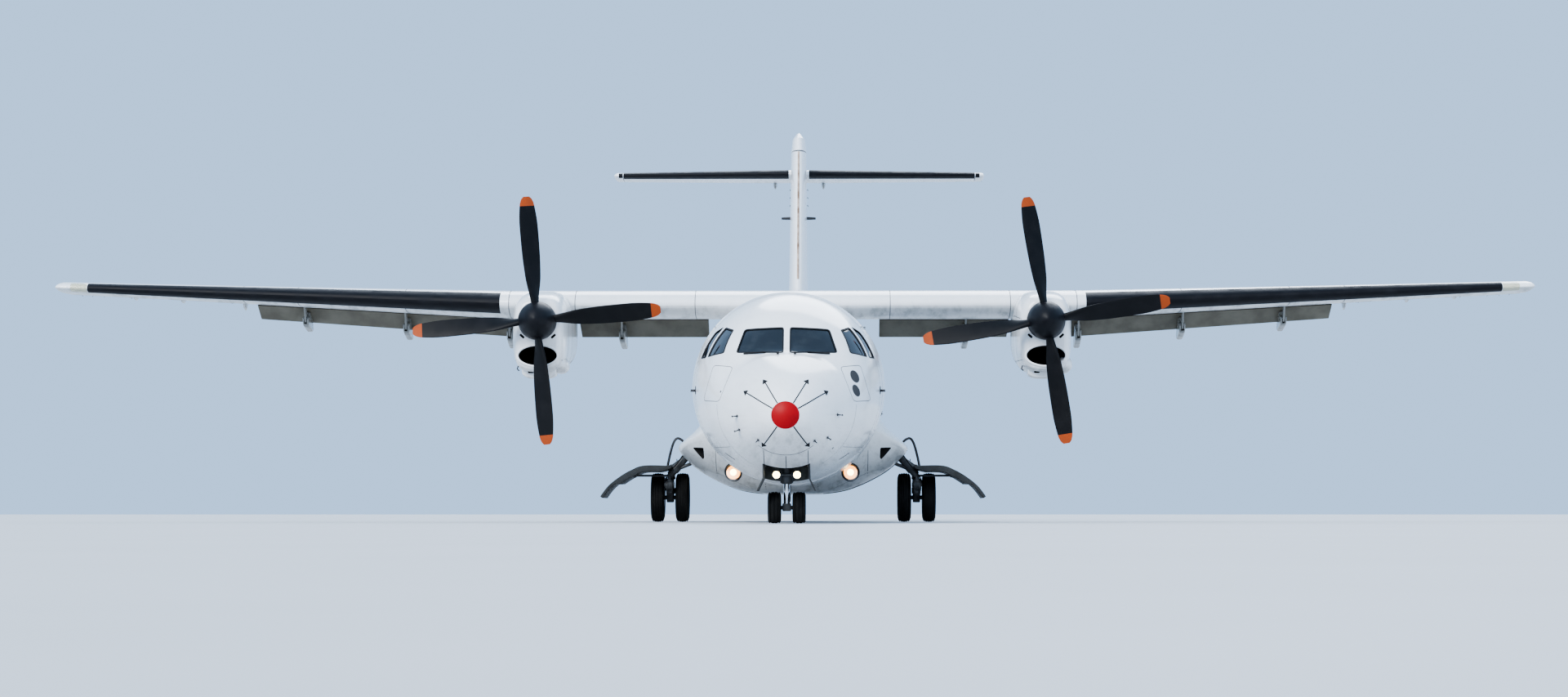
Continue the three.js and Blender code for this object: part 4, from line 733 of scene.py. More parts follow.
cockpit = faced(hull_skin("cockpit_shell", RADOME_END, COCKPIT_END - FIT, step=0.04), body_paint)
cabin_air = common(
    hull_skin("cabin_air", 1.5, 3.17, 0.08),
    block("above_floor", (-1.6, 1.6), (station(1.4), station(3.3)), (1.75, 3.6)),
)
nose_bay = block("nose_bay", (-0.335, 0.335), (station(1.13), station(2.60)), (0.4, 1.2003))
pane_holes = []
for node in ("windshield", *SIDE_PANES):
    hole = pane_prism(node, 0)
    pane_holes += [hole, mirrored(hole, "pane_hole")]
for hole in pane_holes:
    faced(hole, cabin_plastic)
cut(cockpit, faced(cabin_air, cabin_plastic), faced(nose_bay, bay_primer), *pane_holes)
nose_pad = rod("nose_jack_pad", (0, station(2.95), 0.572), (0, station(2.95), 0.642), 0.06)
place(cockpit, body_paint, "airframe", "cockpit_section", degrees=30)
place(nose_pad, body_paint, "airframe")

glass_shell = hull_shell("glass_shell", 1.3, 3.03, 0.012, 0.030, 0.05)
seal_shell = hull_shell("seal_shell", 1.3, 3.03, -0.002, 0.034, 0.05)
for node in ("windshield", *SIDE_PANES):
    pane = common(copy_of(glass_shell, f"{node}_glass_port"), pane_prism(node, -0.002))
    place_pair(pane, cockpit_glass, "airframe", f"{node}_port")
    frame_ring = cut(pane_prism(node, -0.0005), pane_prism(node, -0.017, 0.034))
    seal = common(copy_of(seal_shell, f"{node}_seal_port"), frame_ring)
    place_pair(seal, seal_black, "airframe")
bpy.data.objects.remove(glass_shell)
bpy.data.objects.remove(seal_shell)

start, normal = spot(cockpit, (0.12, -11.5, 2.385), (0, 1, 0))
end, end_normal = spot(cockpit, (0.52, -11.5, 2.395), (0, 1, 0))
arm_line = [start + normal * 0.028, start.lerp(end, 0.5) + normal * 0.034, end + end_normal * 0.026]
blade_line = [
    start.lerp(end, 0.45) + normal * 0.022,
    end + end_normal * 0.016,
    end + (end - start) * 0.22 + end_normal * 0.012
]
wiper_parts = [
    rod("wiper_pivot", start - normal * 0.01, start + normal * 0.035, 0.016, 20),
    tube("wiper_arm", arm_line, 0.007),
    tube("wiper_blade", blade_line, 0.009),
]
place_pair(joined("wiper_port", *wiper_parts), seal_black, "airframe")

hull_lines("radome_seam", seal_black, [arc(RADOME_END, 230, 310)], 0.012)
hull_lines(
    "nose_lines",
    seam_dark,
    [arc(1.43, -62, 0), arc(1.43, 180, 242), arc(2.95, -40, 20), arc(2.95, 160, 220)]
    + [[(1.5, a), (3.2, a)] for a in (-38, 218)],
    0.005,
)


def arrow_head(tip, degrees):
    """A filled triangle that narrows toward the tail."""
    rings = []
    for i in range(5):
        at, normal = hull_spot(tip + 0.024 * i, degrees)
        side = normal.cross(Vector((0, 1, 0))).normalized() * (0.042 - 0.010 * i)
        rings.append([
            at + side + normal * 0.003, at - side + normal * 0.003, at - side - normal * 0.004,
            at + side - normal * 0.004
        ])
    return skin("diverter_head", rings)


arrow_parts = []
for degrees, end in ((57, 0.45), (123, 0.45), (28, 0.62), (152, 0.62), (-55, 0.45), (-125, 0.45)):
    arrow_parts.append(
        strip("diverter", [hull_spot(s, degrees) for s in spaced(0.066, end, 0.03)], 0.015, 0.003)
    )
    arrow_parts.append(arrow_head(end, degrees))
place(joined("diverter_strips", *arrow_parts), seal_black, "airframe")


def nose_ray(x, z):
    """The skin that a straight look from ahead meets, on either part of the nose."""
    found = []
    for name in ("radome_skin", "cockpit_shell"):
        hit, at, normal, _ = bpy.data.objects[name].ray_cast(Vector((x, -12, z)), Vector((0, 1, 0)))
        if hit:
            found.append((at, normal))
    return min(found, key=lambda pair: pair[0].y)


def probe(name, x, z, standoff, reach):
    at, normal = nose_ray(x, z)
    side = normal.cross(Vector((0, 1, 0))).normalized()
    rings = []
    for k, w in ((-0.1, 1.2), (0.3, 0.9), (0.7, 0.7), (1.0, 0.6)):
        base = at + normal * standoff * k + Vector((0, 0.025 * k, 0))
        turns = full_turn(20)
        rings.append([base + Vector((0, 0.040 * w * cos(a), 0)) + side * 0.010 * w * sin(a) for a in turns])
    parts = [skin(name + "_mast", rings), boss(name + "_foot", at, normal, 0.020, 0.003)]
    if reach:
        top = at + normal * standoff + Vector((0, 0.02, 0))
        parts.append(
            rod(name + "_tube", top + Vector((0, 0.03, 0)), top - Vector((0, reach, 0)), 0.012, 20, 0.009)
        )
    return joined(name, *parts)


place(
    joined(
        "nose_probes",
        probe("pitot_1", -0.68, 1.50, 0.075, 0.16),
        probe("pitot_2", -0.65, 1.31, 0.075, 0.16),
        probe("pitot_3", 0.72, 1.52, 0.075, 0.16),
        probe("vane_1", -0.38, 1.16, 0.055, 0),
        probe("vane_2", 0.40, 1.15, 0.055, 0),
        probe("vane_3", 0.58, 1.20, 0.055, 0.05),
    ),
    dark_steel,
    "airframe",
)
vanes = []
for degrees in (0, 180):
    at, normal = hull_spot(2.95, degrees)
    vanes += [boss("vane_plate", at, normal, 0.06, 0.003), rod("vane_pin", at, at + normal * 0.07, 0.012, 16)]
    vanes.append(block(
        "vane_blade",
        (min(at.x, at.x + normal.x * 0.075), max(at.x, at.x + normal.x * 0.075)),
        (at.y - 0.02, at.y + 0.07),
        (at.z - 0.022, at.z - 0.010),
        0.003
    ))
place(joined("angle_vanes", *vanes), dark_steel, "airframe")
ports = []
for x, z, r in ((-0.93, 1.86, 0.016), (0.654, 1.06, 0.016)):
    at, normal = nose_ray(x, z)
    ports.append(boss("port_disc", at, normal, r, 0.002))
place(joined("static_ports", *ports), seal_black, "airframe")


def nose_oval(x, z, half_x, half_z):
    """A thin dark disc that lies on the nose."""
    rings = []
    for k, height in (
        (0.01, 0.002), (0.35, 0.002), (0.7, 0.002), (1.0, 0.0015), (1.0, -0.004), (0.5, -0.004),
        (0.01, -0.004)
    ):
        found = []
        for a in full_turn(32):
            at, normal = nose_ray(
                x + half_x * k * cos(a) - 0.28 * half_z * k * sin(a), z + half_z * k * sin(a)
            )
            found.append(at + normal * height)
        rings.append(found)
    return skin("nose_oval", rings)


place(
    joined("nose_ovals", nose_oval(0.965, 2.085, 0.060, 0.090), nose_oval(0.985, 1.880, 0.050, 0.085)),
    seam_dark,
    "airframe"
)
panel = [Vector((*p, 0)) for p in rounded([(0.95, 1.72), (1.20, 1.755), (1.05, 2.257), (0.76, 2.216)], 0.05)]
steps = [a.lerp(b, i / 20) for a, b in zip(panel, panel[1:] + panel[:1]) for i in range(20)]
route = [nose_ray(p.x, p.y) for p in steps]
place_pair(strip("nose_panel_port", route + route[:1], 0.007, 0.0014), seam_dark, "airframe")
drains = strip("drain_slot_port", [hull_spot(2.0 + 0.04 * i, -50 + 1.4 * i) for i in range(6)], 0.022, 0.002)
place_pair(drains, seal_black, "airframe")

# Centre of the body

CARGO_SPAN, CARGO_SILL, CARGO_HEAD = (3.35, 4.62), 1.36, 2.89
CARGO_HINGE, CARGO_HINGES = 1.128, (3.85, 4.42)
STAIR_SPAN, STAIR_SILL, STAIR_HEAD, STAIR_HINGE, STAIR_SWEEP = (15.20, 15.95), 1.40, 3.15, 1.285, 1.8
STAIR_HINGES, HINGE_SPACE = (15.29, 15.70), (0.046, 0.027)
SERVICE_SPAN, SERVICE_SILL, SERVICE_HEAD = (15.30, 15.95), 1.40, 2.62
WINDOW_Z, WINDOW_SIZE, WINDOW_PITCH = 2.34, (0.27, 0.37), 0.76
WINDOWS = [5.15 + WINDOW_PITCH * i for i in range(12)]


def span_y(span, gap=0.0):
    return (station(span[0]) + gap, station(span[1]) - gap)


def window_outline(s, grow):
    half_y, half_z = WINDOW_SIZE[0] / 2 + grow, WINDOW_SIZE[1] / 2 + grow
    turns = full_turn(32)
    bend = lambda value: copysign(abs(value) ** 0.55, value)
    return [(station(s) + half_y * bend(cos(a)), WINDOW_Z + half_z * bend(sin(a))) for a in turns]


def window_set(name, grow, x0, x1):
    port = joined(name, *[prism(name, "x", window_outline(s, grow), x0, x1) for s in WINDOWS])
    return joined(name, port, mirrored(port, name + "_other"))


def wheel_bay(name):
    return faced(block(name, (0.5, 2.0), (-1.5003, -0.1997), (0.3, 1.1803)), bay_primer)


centre = faced(hull_skin("centre_shell", COCKPIT_END, CENTRE_END - FIT, step=0.1), body_paint)
hold_air = faced(block("hold_air", (-0.6, 1.6), span_y(CARGO_SPAN), (CARGO_SILL, CARGO_HEAD)), cabin_plastic)
# The window recesses are lined with black under dark, nearly opaque panes: painted shade that stands for the
# cabin behind them.
window_cut = cut(window_set("window_cut", 0, 1.2, 1.6), hull_skin("inner_hull", 4.5, 14.1, 0.014, 0.5))
bay = wheel_bay("wheel_bay_cut")
cut(centre, hold_air, faced(window_cut, seal_black), bay, mirrored(wheel_bay("bay_twin"), "bay_other"))
bpy.data.objects.remove(bpy.data.objects["bay_twin"])
place(centre, body_paint, "airframe", "fuselage_centre", degrees=30)
pane_shell = hull_shell("cabin_panes", 4.5, 14.1, 0.004, 0.0135, 0.5)
place(common(pane_shell, window_set("pane_cut", -0.012, 1.2, 1.6)), cabin_glass, "airframe")

hull_lines(
    "body_lines",
    seam_dark,
    [arc(s, 0, 360) for s in (COCKPIT_END, 4.77, CENTRE_END)]
    + [arc(s, -75, 62) for s in (5.53, 7.05)]
    + [arc(s, 118, 255) for s in (5.53, 7.05)]
    + [arc(s, 0, 360) for s in (17.2, 18.9, 20.4)]
    + [[(3.3, a), (16.3, a)] for a in (40, 140, -42, 222)],
    0.008,
)

FAIRING_FROM, FAIRING_TO, FAIRING_FOOT = 7.9, 13.6, 2.7
ROOT_FAIRING = smooth(
    [
        # station, half width, top
        (7.9, 0.200, 3.440),
        (8.6, 0.700, 3.600),
        (9.3, 1.000, 3.730),
        (10.5, 1.120, 3.780),
        (11.9, 1.050, 3.660),
        (12.8, 0.700, 3.540),
        (13.6, 0.200, 3.438),
    ]
)


def superellipse(angle, exponent):
    bend = lambda value: copysign(abs(value) ** (2 / exponent), value)
    return bend(cos(angle)), bend(sin(angle))


def root_ring(s):
    half, top = ROOT_FAIRING(s)
    found = []
    for i in range(49):
        across, up = superellipse(pi * i / 48, 2.3)
        found.append(Vector((half * across, station(s), FAIRING_FOOT + (top - FAIRING_FOOT) * up)))
    return found


place(
    skin("wing_root_fairing", [root_ring(s) for s in spaced(FAIRING_FROM, FAIRING_TO, 0.12)]),
    body_paint,
    "airframe",
    degrees=35
)

# Rear of the body and its doors

rear = faced(hull_skin("rear_shell", CENTRE_END, HULL_END, step=0.12), tail_paint)


def stair_sweep(radius):
    return rod(
        "stair_sweep", (STAIR_HINGE, station(15.1), STAIR_SILL),
        (STAIR_HINGE, station(16.05), STAIR_SILL), radius, 160
    )


stair_air = common(
    block("stair_air", (STAIR_HINGE - 1.05, 1.6), span_y(STAIR_SPAN), (STAIR_SILL, STAIR_HEAD + 0.06)),
    stair_sweep(STAIR_SWEEP),
)
service_air = common(
    hull_shell("service_air", 15.1, 16.15, -0.05, 0.06 + FIT),
    block("service_box", (-1.6, 0), span_y(SERVICE_SPAN), (SERVICE_SILL, SERVICE_HEAD)),
)
cut(rear, faced(stair_air, cabin_plastic), faced(service_air, seal_black))
place(rear, tail_paint, "airframe", "fuselage_rear", degrees=30)

DOOR_THICKNESS = 0.11


def hinge_lobe(name, x, z, s, half, radius):
    return rod(name, (x, station(s) - half, z), (x, station(s) + half, z), radius, 24)


def hinge_ears(name, x, z, stations, rise):
    parts = []
    for s in stations:
        for side in (-1, 1):
            y = station(s) + side * 0.030
            low, high = sorted((z, z - rise * 0.018))
            parts.append(rod(name, (x, y - 0.010, z), (x, y + 0.010, z), 0.018, 24))
            parts.append(block(name, (x - 0.110, x), (y - 0.010, y + 0.010), (low, high), 0.003))
        parts.append(hinge_lobe(name, x, z, s, 0.040, 0.010))
    return joined(name, *parts)


def hinge_tongues(name, x, z, stations, rise):
    parts = []
    for s in stations:
        low, high = sorted((z + rise * DOOR_GAP, z + rise * 0.045))
        tongue = fused(
            hinge_lobe(name, x, z, s, 0.015, 0.018),
            block(name, (x - 0.100, x + 0.002), (station(s) - 0.015, station(s) + 0.015), (low, high)),
        )
        parts.append(cut(tongue, hinge_lobe("bore", x, z, s, 0.05, 0.0105)))
    return joined(name, *parts)


def handle(name, s, z, sign=1):
    """A flush door handle on a flat dark patch: painted shade that stands for its recess."""
    at, normal = hull_side(s, z, sign)
    length = Vector((0, 0.085, 0))
    # The dark patch is painted shade in place of a recess.
    recess_shade = strip(name + "_dish", [(at + length * k, normal) for k in (-1.2, 0, 1.2)], 0.07, 0.0012)
    return recess_shade, tube(
        name + "_bar",
        [at - length + normal * 0.004, at + normal * 0.012, at + length + normal * 0.004],
        0.009
    )


cargo = common(
    hull_shell("cargo_door_panel", 3.3, 4.67, 0, DOOR_THICKNESS, 0.04),
    block(
        "cargo_box", (0, 1.6), span_y(CARGO_SPAN, DOOR_GAP), (CARGO_SILL + DOOR_GAP, CARGO_HEAD - DOOR_GAP)
    ),
)
spaces = [hinge_lobe("space", CARGO_HINGE, CARGO_HEAD, s, *HINGE_SPACE) for s in CARGO_HINGES]
place(cut(cargo, *spaces), body_paint, "cargo_door", "cargo_door", degrees=30)
place(
    hinge_tongues("cargo_door_tongues", CARGO_HINGE, CARGO_HEAD, CARGO_HINGES, -1), dull_alloy, "cargo_door"
)
place(hinge_ears("cargo_hinge_ears", CARGO_HINGE, CARGO_HEAD, CARGO_HINGES, -1), dull_alloy, "airframe")
recess_shade, bar = handle("cargo_handle", 3.98, 1.62)
place(recess_shade, seal_black, "cargo_door")
place(bar, dull_alloy, "cargo_door")

stairs = common(
    hull_shell("airstair_panel", 15.0, 16.15, 0, DOOR_THICKNESS, 0.04),
    block("stair_box", (0, 1.6), span_y(STAIR_SPAN, DOOR_GAP), (STAIR_SILL + DOOR_GAP, STAIR_HEAD)),
    stair_sweep(STAIR_SWEEP - 2 * DOOR_GAP),
)
spaces = [hinge_lobe("space", STAIR_HINGE, STAIR_SILL, s, *HINGE_SPACE) for s in STAIR_HINGES]
place(cut(stairs, *spaces), tail_paint, "airstair_door", "airstair_door", degrees=30)
treads, rails = [], []
for i in range(6):
    z = STAIR_SILL + 0.2 + 0.235 * i
    outer = hull_side(15.575, z)[0].x - DOOR_THICKNESS + 0.03
    treads.append(block("tread", (outer - 0.21, outer), span_y(STAIR_SPAN, 0.07), (z, z + 0.03), 0.006))
place(joined("airstair_treads", *treads), dull_alloy, "airstair_door")
place(
    hinge_tongues("airstair_tongues", STAIR_HINGE, STAIR_SILL, STAIR_HINGES, 1), dull_alloy, "airstair_door"
)
place(hinge_ears("airstair_hinge_ears", STAIR_HINGE, STAIR_SILL, STAIR_HINGES, 1), dull_alloy, "airframe")
for y in span_y(STAIR_SPAN, 0.05):
    rails.append(tube(
        "rail",
        spline([(1.24, y, 1.62), (1.02, y, 1.75), (0.99, y, 2.3), (0.93, y, 2.8), (1.06, y, 2.95)], 5),
        0.011
    ))
place(joined("airstair_rails", *rails), chrome, "airstair_door")
recess_shade, bar = handle("airstair_handle", 15.36, 2.3)
place(recess_shade, seal_black, "airstair_door")
place(bar, dull_alloy, "airstair_door")

service = common(
    hull_shell("service_door_panel", 15.1, 16.15, 0, 0.06, 0.04),
    block(
        "service_box",
        (-1.6, 0),
        span_y(SERVICE_SPAN, DOOR_GAP),
        (SERVICE_SILL + DOOR_GAP, SERVICE_HEAD - DOOR_GAP)
    ),
)
place(service, tail_paint, "airframe", "service_door", degrees=30)
recess_shade, bar = handle("service_handle", 15.45, 1.95, -1)
place(recess_shade, seal_black, "airframe")
place(bar, dull_alloy, "airframe")

tail_end, tail_normal = Vector((0, station(HULL_END), 2.89)), Vector((0, 1, 0))
place(
    rod("tail_light_ring", tail_end - tail_normal * 0.05, tail_end + tail_normal * 0.004, 0.075, 32),
    seal_black,
    "airframe"
)

# Belly fairing

BELLY_Z = 0.46
BELLY_SECTION = [
    (0.55, 0.470), (1.00, 0.560), (1.50, 0.800), (1.80, 1.050), (1.90, 1.200), (1.85, 1.290),
    (1.65, 1.450), (1.43, 1.680), (1.38, 1.800)
]
BELLY_SWELL = smooth([
    (7.9, 0), (8.35, 0.42), (8.9, 0.76), (9.6, 0.95), (10.3, 1), (11.5, 1), (12.2, 0.9), (12.9, 0.6),
    (13.6, 0)
])
belly_curve = spline([(-x, z) for x, z in reversed(BELLY_SECTION)] + [(0, BELLY_Z)] + BELLY_SECTION, 6)


def belly_ring(s):
    half, middle, _, bottom = HULL(s)
    swell = float(BELLY_SWELL(s)[0])
    found = []
    for point in belly_curve:
        angle = atan2((point.y - middle) / (middle - bottom), point.x / half)
        inner = Vector((0.99 * half * cos(angle), middle + 0.99 * (middle - bottom) * sin(angle)))
        outer = inner.lerp(Vector((point.x, point.y)), swell)
        found.append(Vector((outer.x, station(s), outer.y)))
    return found


LAMP_BOWL = [
    # radius, depth behind the skin: the mirror's face, then its back
    (0.112, 0.14), (0.10, 0.20), (0.06, 0.25), (0.0, 0.26),
    (0.0, 0.255), (0.055, 0.243), (0.094, 0.195), (0.106, 0.14),
]
belly = faced(
    skin("belly_skin", [belly_ring(s) for s in spaced(FAIRING_FROM, FAIRING_TO, 0.07)]), belly_paint
)
bay = wheel_bay("belly_bay_cut")
pockets = []
lamp_sites = []
for sign in (-1, 1):
    at, normal = spot(belly, (sign * 0.94, -6, 0.80), (0, 1, 0))
    lamp_sites.append((sign, at))
    pockets.append(
        faced(rod("lamp_pocket", at - Vector((0, 0.5, 0)), at + Vector((0, 0.30, 0)), 0.125, 48), bay_primer)
    )
    side, _ = spot(belly, (sign * 1.45, -6, 1.12), (0, 1, 0))
    scoop = [
        (sign * x, z) for x, z in ((1.415, 1.03), (1.50, 0.985), (1.585, 1.12), (1.60, 1.205), (1.42, 1.195))
    ]
    pockets.append(
        faced(prism("inlet_pocket", "y", rounded(scoop, 0.025), side.y - 0.5, side.y + 0.16), duct_dark)
    )
other_bay = mirrored(bay, "belly_bay_other")
cut(belly, bay, other_bay, *pockets)
place(belly, belly_paint, "airframe", "belly_fairing", degrees=30)
for sign, at in lamp_sites:
    circle = [(at.x + 0.137 * cos(a), at.y - 1.0, at.z + 0.137 * sin(a)) for a in full_turn(40)]
    rim = strip("landing_light_rim", traced(belly, circle, (0, 1, 0), 0.03, closed=True), 0.022, 0.003)
    place(rim, seal_black, "airframe")
    reflector = skin(
        "landing_light_bowl",
        [[at + Vector((r * cos(a), depth, r * sin(a))) for a in full_turn(40)] for r, depth in LAMP_BOWL],
    )
    place(reflector, chrome, "airframe")
    place(
        ball("landing_light_lens", at + Vector((0, 0.10, 0)), (0.111, 0.025, 0.111)), landing_glow, "airframe"
    )
    place(
        ball("landing_light_core", at + Vector((0, 0.088, 0)), (0.062, 0.020, 0.062)), taxi_glow, "airframe"
    )

aerial = skin(
    "belly_aerial",
    [
        [
            Vector((0.018 * w * sin(a), -5.6 + 0.07 * k + 0.16 * w * cos(a), 0.62 - 0.30 * k))
            for a in full_turn(24)
        ]
        for k, w in ((0, 1), (0.4, 0.85), (0.8, 0.62), (1, 0.45))
    ],
)
place(aerial, seam_dark, "airframe")


def belly_line(route, width=0.010):
    return strip(
        "belly_line", traced(belly, [(x, -8, z) for x, z in route], (0, 1, 0), 0.04), width, SEAM_RISE
    )


place(
    joined(
        "belly_lines",
        *[
            belly_line([(sign * x, z0), (sign * x1, z1)])
            for sign in (-1, 1)
            for x, z0, x1, z1 in (
                (0.42, 0.53, 0.42, 0.70), (1.22, 0.75, 1.22, 1.15), (0.70, 0.56, 1.22, 0.80)
            )
        ],
    ),
    seam_dark,
    "airframe",
)

# Wing

HALF_SPAN, WING_BREAK = 12.285, 4.65
WING_ROOT = (-2.000, 2.570, 3.560, 0.18)
WING_TIP = (-1.308, 1.410, 3.893, 0.13)
CAMBER, INCIDENCE, TRAILING_EDGE = 0.02, radians(2), 0.004


def wing_at(x):
    """Leading edge, chord, height and thickness of the wing at a place along the span."""
    k = max(0, (abs(x) - WING_BREAK) / (HALF_SPAN - WING_BREAK))
    return tuple(a + (b - a) * k for a, b in zip(WING_ROOT, WING_TIP))


def half_thickness(k, thickness):
    curve = 0.2969 * sqrt(k) - 0.126 * k - 0.3516 * k**2 + 0.2843 * k**3 - 0.1036 * k**4
    return 5 * thickness * curve


def camber_at(k, camber=CAMBER):
    return 4 * camber * k * (1 - k)


def wing_point(x, u, w):
    leading, chord, centre, _ = wing_at(x)
    arm = u - chord / 4
    c, s = cos(INCIDENCE), sin(INCIDENCE)
    return Vector((x, leading + chord / 4 + arm * c + w * s, centre - arm * s + w * c))


def wing_surface(k, thickness, sign, camber=CAMBER):
    return camber_at(k, camber) + sign * half_thickness(k, thickness)


def aerofoil(chord, thickness, camber=0.0, grow=0.0, steps=26):
    """An aerofoil's outline from its trailing edge over the top and back underneath."""
    found = []
    for sign in (1, -1):
        side = []
        for i in range(steps + 1):
            k = (1 - cos(pi * i / steps)) / 2
            half = half_thickness(k, thickness) * chord + k * TRAILING_EDGE / 2 + grow
            side.append((-grow + k * (chord + 2 * grow), camber_at(k, camber) * chord + sign * half))
        found += side[::-1] if sign > 0 else side[1:]
    return found


def wing_ring(x, chord_trim=1.0, thickness_trim=1.0, grow=0.0):
    _, chord, _, thickness = wing_at(x)
    shift = chord * (1 - chord_trim) / 2
    outline = aerofoil(chord * chord_trim, thickness * thickness_trim, CAMBER, grow)
    return [wing_point(x, u + shift, w) for u, w in outline]


def span_skin(name, places, outline, at):
    return skin(name, [[at(p, u, w) for u, w in outline(p)] for p in places])


def around_nose(reach, steps):
    """A band's places around a leading edge, from below to above: the share of the chord, and the side."""
    places = [-1 + 2 * i / steps for i in range(steps + 1)]
    return [(reach * t * t, 1 if t > 0 else -1) for t in places]


def wing_band(x0, x1, outer_grow, reach):
    """A thin band around the fixed wing between two places along the span."""
    rings = []
    for x in (x0, x1):
        _, chord, _, thickness = wing_at(x)
        outer, inner = [], []
        for k, side in around_nose(reach, 60):
            for found, grow in ((outer, outer_grow), (inner, -0.003)):
                half = half_thickness(k, thickness) * chord + grow
                u = k * chord - (grow if k == 0 else 0)
                found.append((u, camber_at(k) * chord + side * half))
        rings.append([wing_point(x, u, w) for u, w in outer + inner[::-1]])
    return skin("wing_band", rings)


FLAP_PIVOT, FLAP_NOSE = (0.72, -0.128), (0.712, 0.80)
FLAP_REST = radians(25)
FLAPS = {
    "flap_inner": (1.450, 3.630, 0.010, (2.900,)),
    "flap_outer": (4.700, 9.075, 0.035, (4.800, 6.550, 8.250)),
}
AILERON = (9.160, 11.620, 0.73)
COVE = 0.014


def flap_nose(x, gap, steps=18):
    _, chord, _, thickness = wing_at(x)
    top = wing_surface(FLAP_NOSE[1], thickness, 1) * chord
    foot = wing_surface(FLAP_NOSE[0], thickness, -1) * chord
    reach = (FLAP_NOSE[1] - FLAP_NOSE[0]) * chord + gap
    turns = quarter_turn(steps)
    return [(FLAP_NOSE[1] * chord - reach * sin(a), foot + (top - foot + gap) * cos(a)) for a in turns]


def flap_space(x):
    chord, nose = wing_at(x)[1], flap_nose(x, CLEAR)
    foot = nose[-1][1]
    return [(chord + 0.1, nose[0][1] + 0.04)] + nose + [(nose[-1][0], foot - 0.2), (chord + 0.1, foot - 0.2)]


def flap_outline(x):
    _, chord, _, thickness = wing_at(x)

    def aft(sign, start):
        places = [start + (1 - start) * i / 10 for i in range(1, 11)]
        return [
            (k * chord, wing_surface(k, thickness, sign) * chord + sign * TRAILING_EDGE / 2) for k in places
        ]

    return aft(1, FLAP_NOSE[1])[::-1] + flap_nose(x, 0) + aft(-1, FLAP_NOSE[0])


def flap_pivot(x):
    chord = wing_at(x)[1]
    return wing_point(x, FLAP_PIVOT[0] * chord, FLAP_PIVOT[1] * chord)


def on_hinge(name, x, axis, length, radius, sides=32):
    middle = flap_pivot(x)
    return rod(name, middle - axis * length / 2, middle + axis * length / 2, radius, sides)


def section_plate(name, x, outline, width, bevel=0.0):
    chord = wing_at(x)[1]
    yz = [tuple(wing_point(x, u * chord, w * chord).yz) for u, w in outline]
    plate = prism(name, "x", yz, x - width / 2, x + width / 2)
    if bevel:
        apply(plate, "BEVEL", width=bevel, segments=4, limit_method="ANGLE", angle_limit=radians(50))
    return plate


POD_OUTLINE = [
    (0.79, -0.02), (0.985, 0.0), (1.05, -0.06), (0.90, -0.125), (0.76, -0.172), (0.715, -0.165),
    (0.70, -0.128), (0.76, -0.075)
]
BRACKET_OUTLINE = [(0.60, -0.01), (0.69, -0.015), (0.745, -0.115), (0.725, -0.158), (0.69, -0.145)]


def nose_of(section):
    chord, thickness, camber, hinge = section
    return hinge * chord, camber_at(hinge, camber) * chord, half_thickness(hinge, thickness) * chord


def nose_arc(section, grow, steps=16):
    u, w, radius = nose_of(section)
    turns = [pi * (0.5 + i / steps) for i in range(steps + 1)]
    return [(u + (radius + grow) * cos(a), w + (radius + grow) * sin(a)) for a in turns]


def moving_outline(section, steps=10):
    chord, thickness, camber, hinge = section

    def aft(sign):
        found = []
        for i in range(1, steps + 1):
            k = hinge + (1 - hinge) * i / steps
            half = half_thickness(k, thickness) * chord + k * TRAILING_EDGE / 2
            found.append((k * chord, camber_at(k, camber) * chord + sign * half))
        return found

    return nose_arc(section, 0) + aft(-1) + aft(1)[::-1]


def bay_outline(section):
    _, w, radius = nose_of(section)
    beyond, height = section[0] + 0.1, radius + COVE
    return nose_arc(section, COVE) + [(beyond, w - height), (beyond, w + height)]


def aileron_section(x):
    _, chord, _, thickness = wing_at(x)
    return chord, thickness, CAMBER, AILERON[2]


centre_wing = faced(
    skin("wing_centre_skin", [wing_ring(x) for x in spaced(-WING_BREAK, WING_BREAK, 0.5)]), wing_paint
)
inboard, outboard, end_gap, _ = FLAPS["flap_inner"]
inner_space = faced(
    span_skin("inner_space", [inboard - CLEAR, outboard + end_gap], flap_space, wing_point), bay_primer
)
cut(centre_wing, mirrored(inner_space, "inner_space_other"), inner_space)
place(centre_wing, wing_paint, "airframe", "wing_centre", degrees=28)

TIP_FROM, TIP_REACH, BOOT_SPAN, BOOT_RISE, BOOT_REACH = 12.15, 0.135, (4.81, 11.73), 0.0025, 0.085
WING_SEAMS = (1.60, 3.57, 4.66, 6.40, 8.20, 9.12)
HATCHES = (5.2, 5.9, 6.9, 7.6, 8.6, 9.5, 10.3, 11.0)
tip_rings = []
for turn in quarter_turn(10):
    back = 1 - cos(turn)
    tip_rings.append(wing_ring(TIP_FROM + TIP_REACH * sin(turn), 1 - 0.1 * back, 1 - 0.6 * back))
outer_rings = [wing_ring(x) for x in spaced(WING_BREAK + FIT, TIP_FROM - 0.05, 0.4)] + tip_rings
outer_wing = faced(skin("wing_outer_skin_port", outer_rings), wing_paint)
inboard, outboard, end_gap, _ = FLAPS["flap_outer"]
cut(
    outer_wing,
    faced(
        span_skin("outer_space", [inboard - CLEAR, outboard + end_gap], flap_space, wing_point), bay_primer
    ),
    faced(
        span_skin(
            "aileron_space", [AILERON[0] - CLEAR, AILERON[1] + CLEAR],
            lambda x: bay_outline(aileron_section(x)), wing_point
        ),
        bay_primer
    ),
)
place_pair(outer_wing, wing_paint, "airframe", "wing_outer_port", degrees=28)

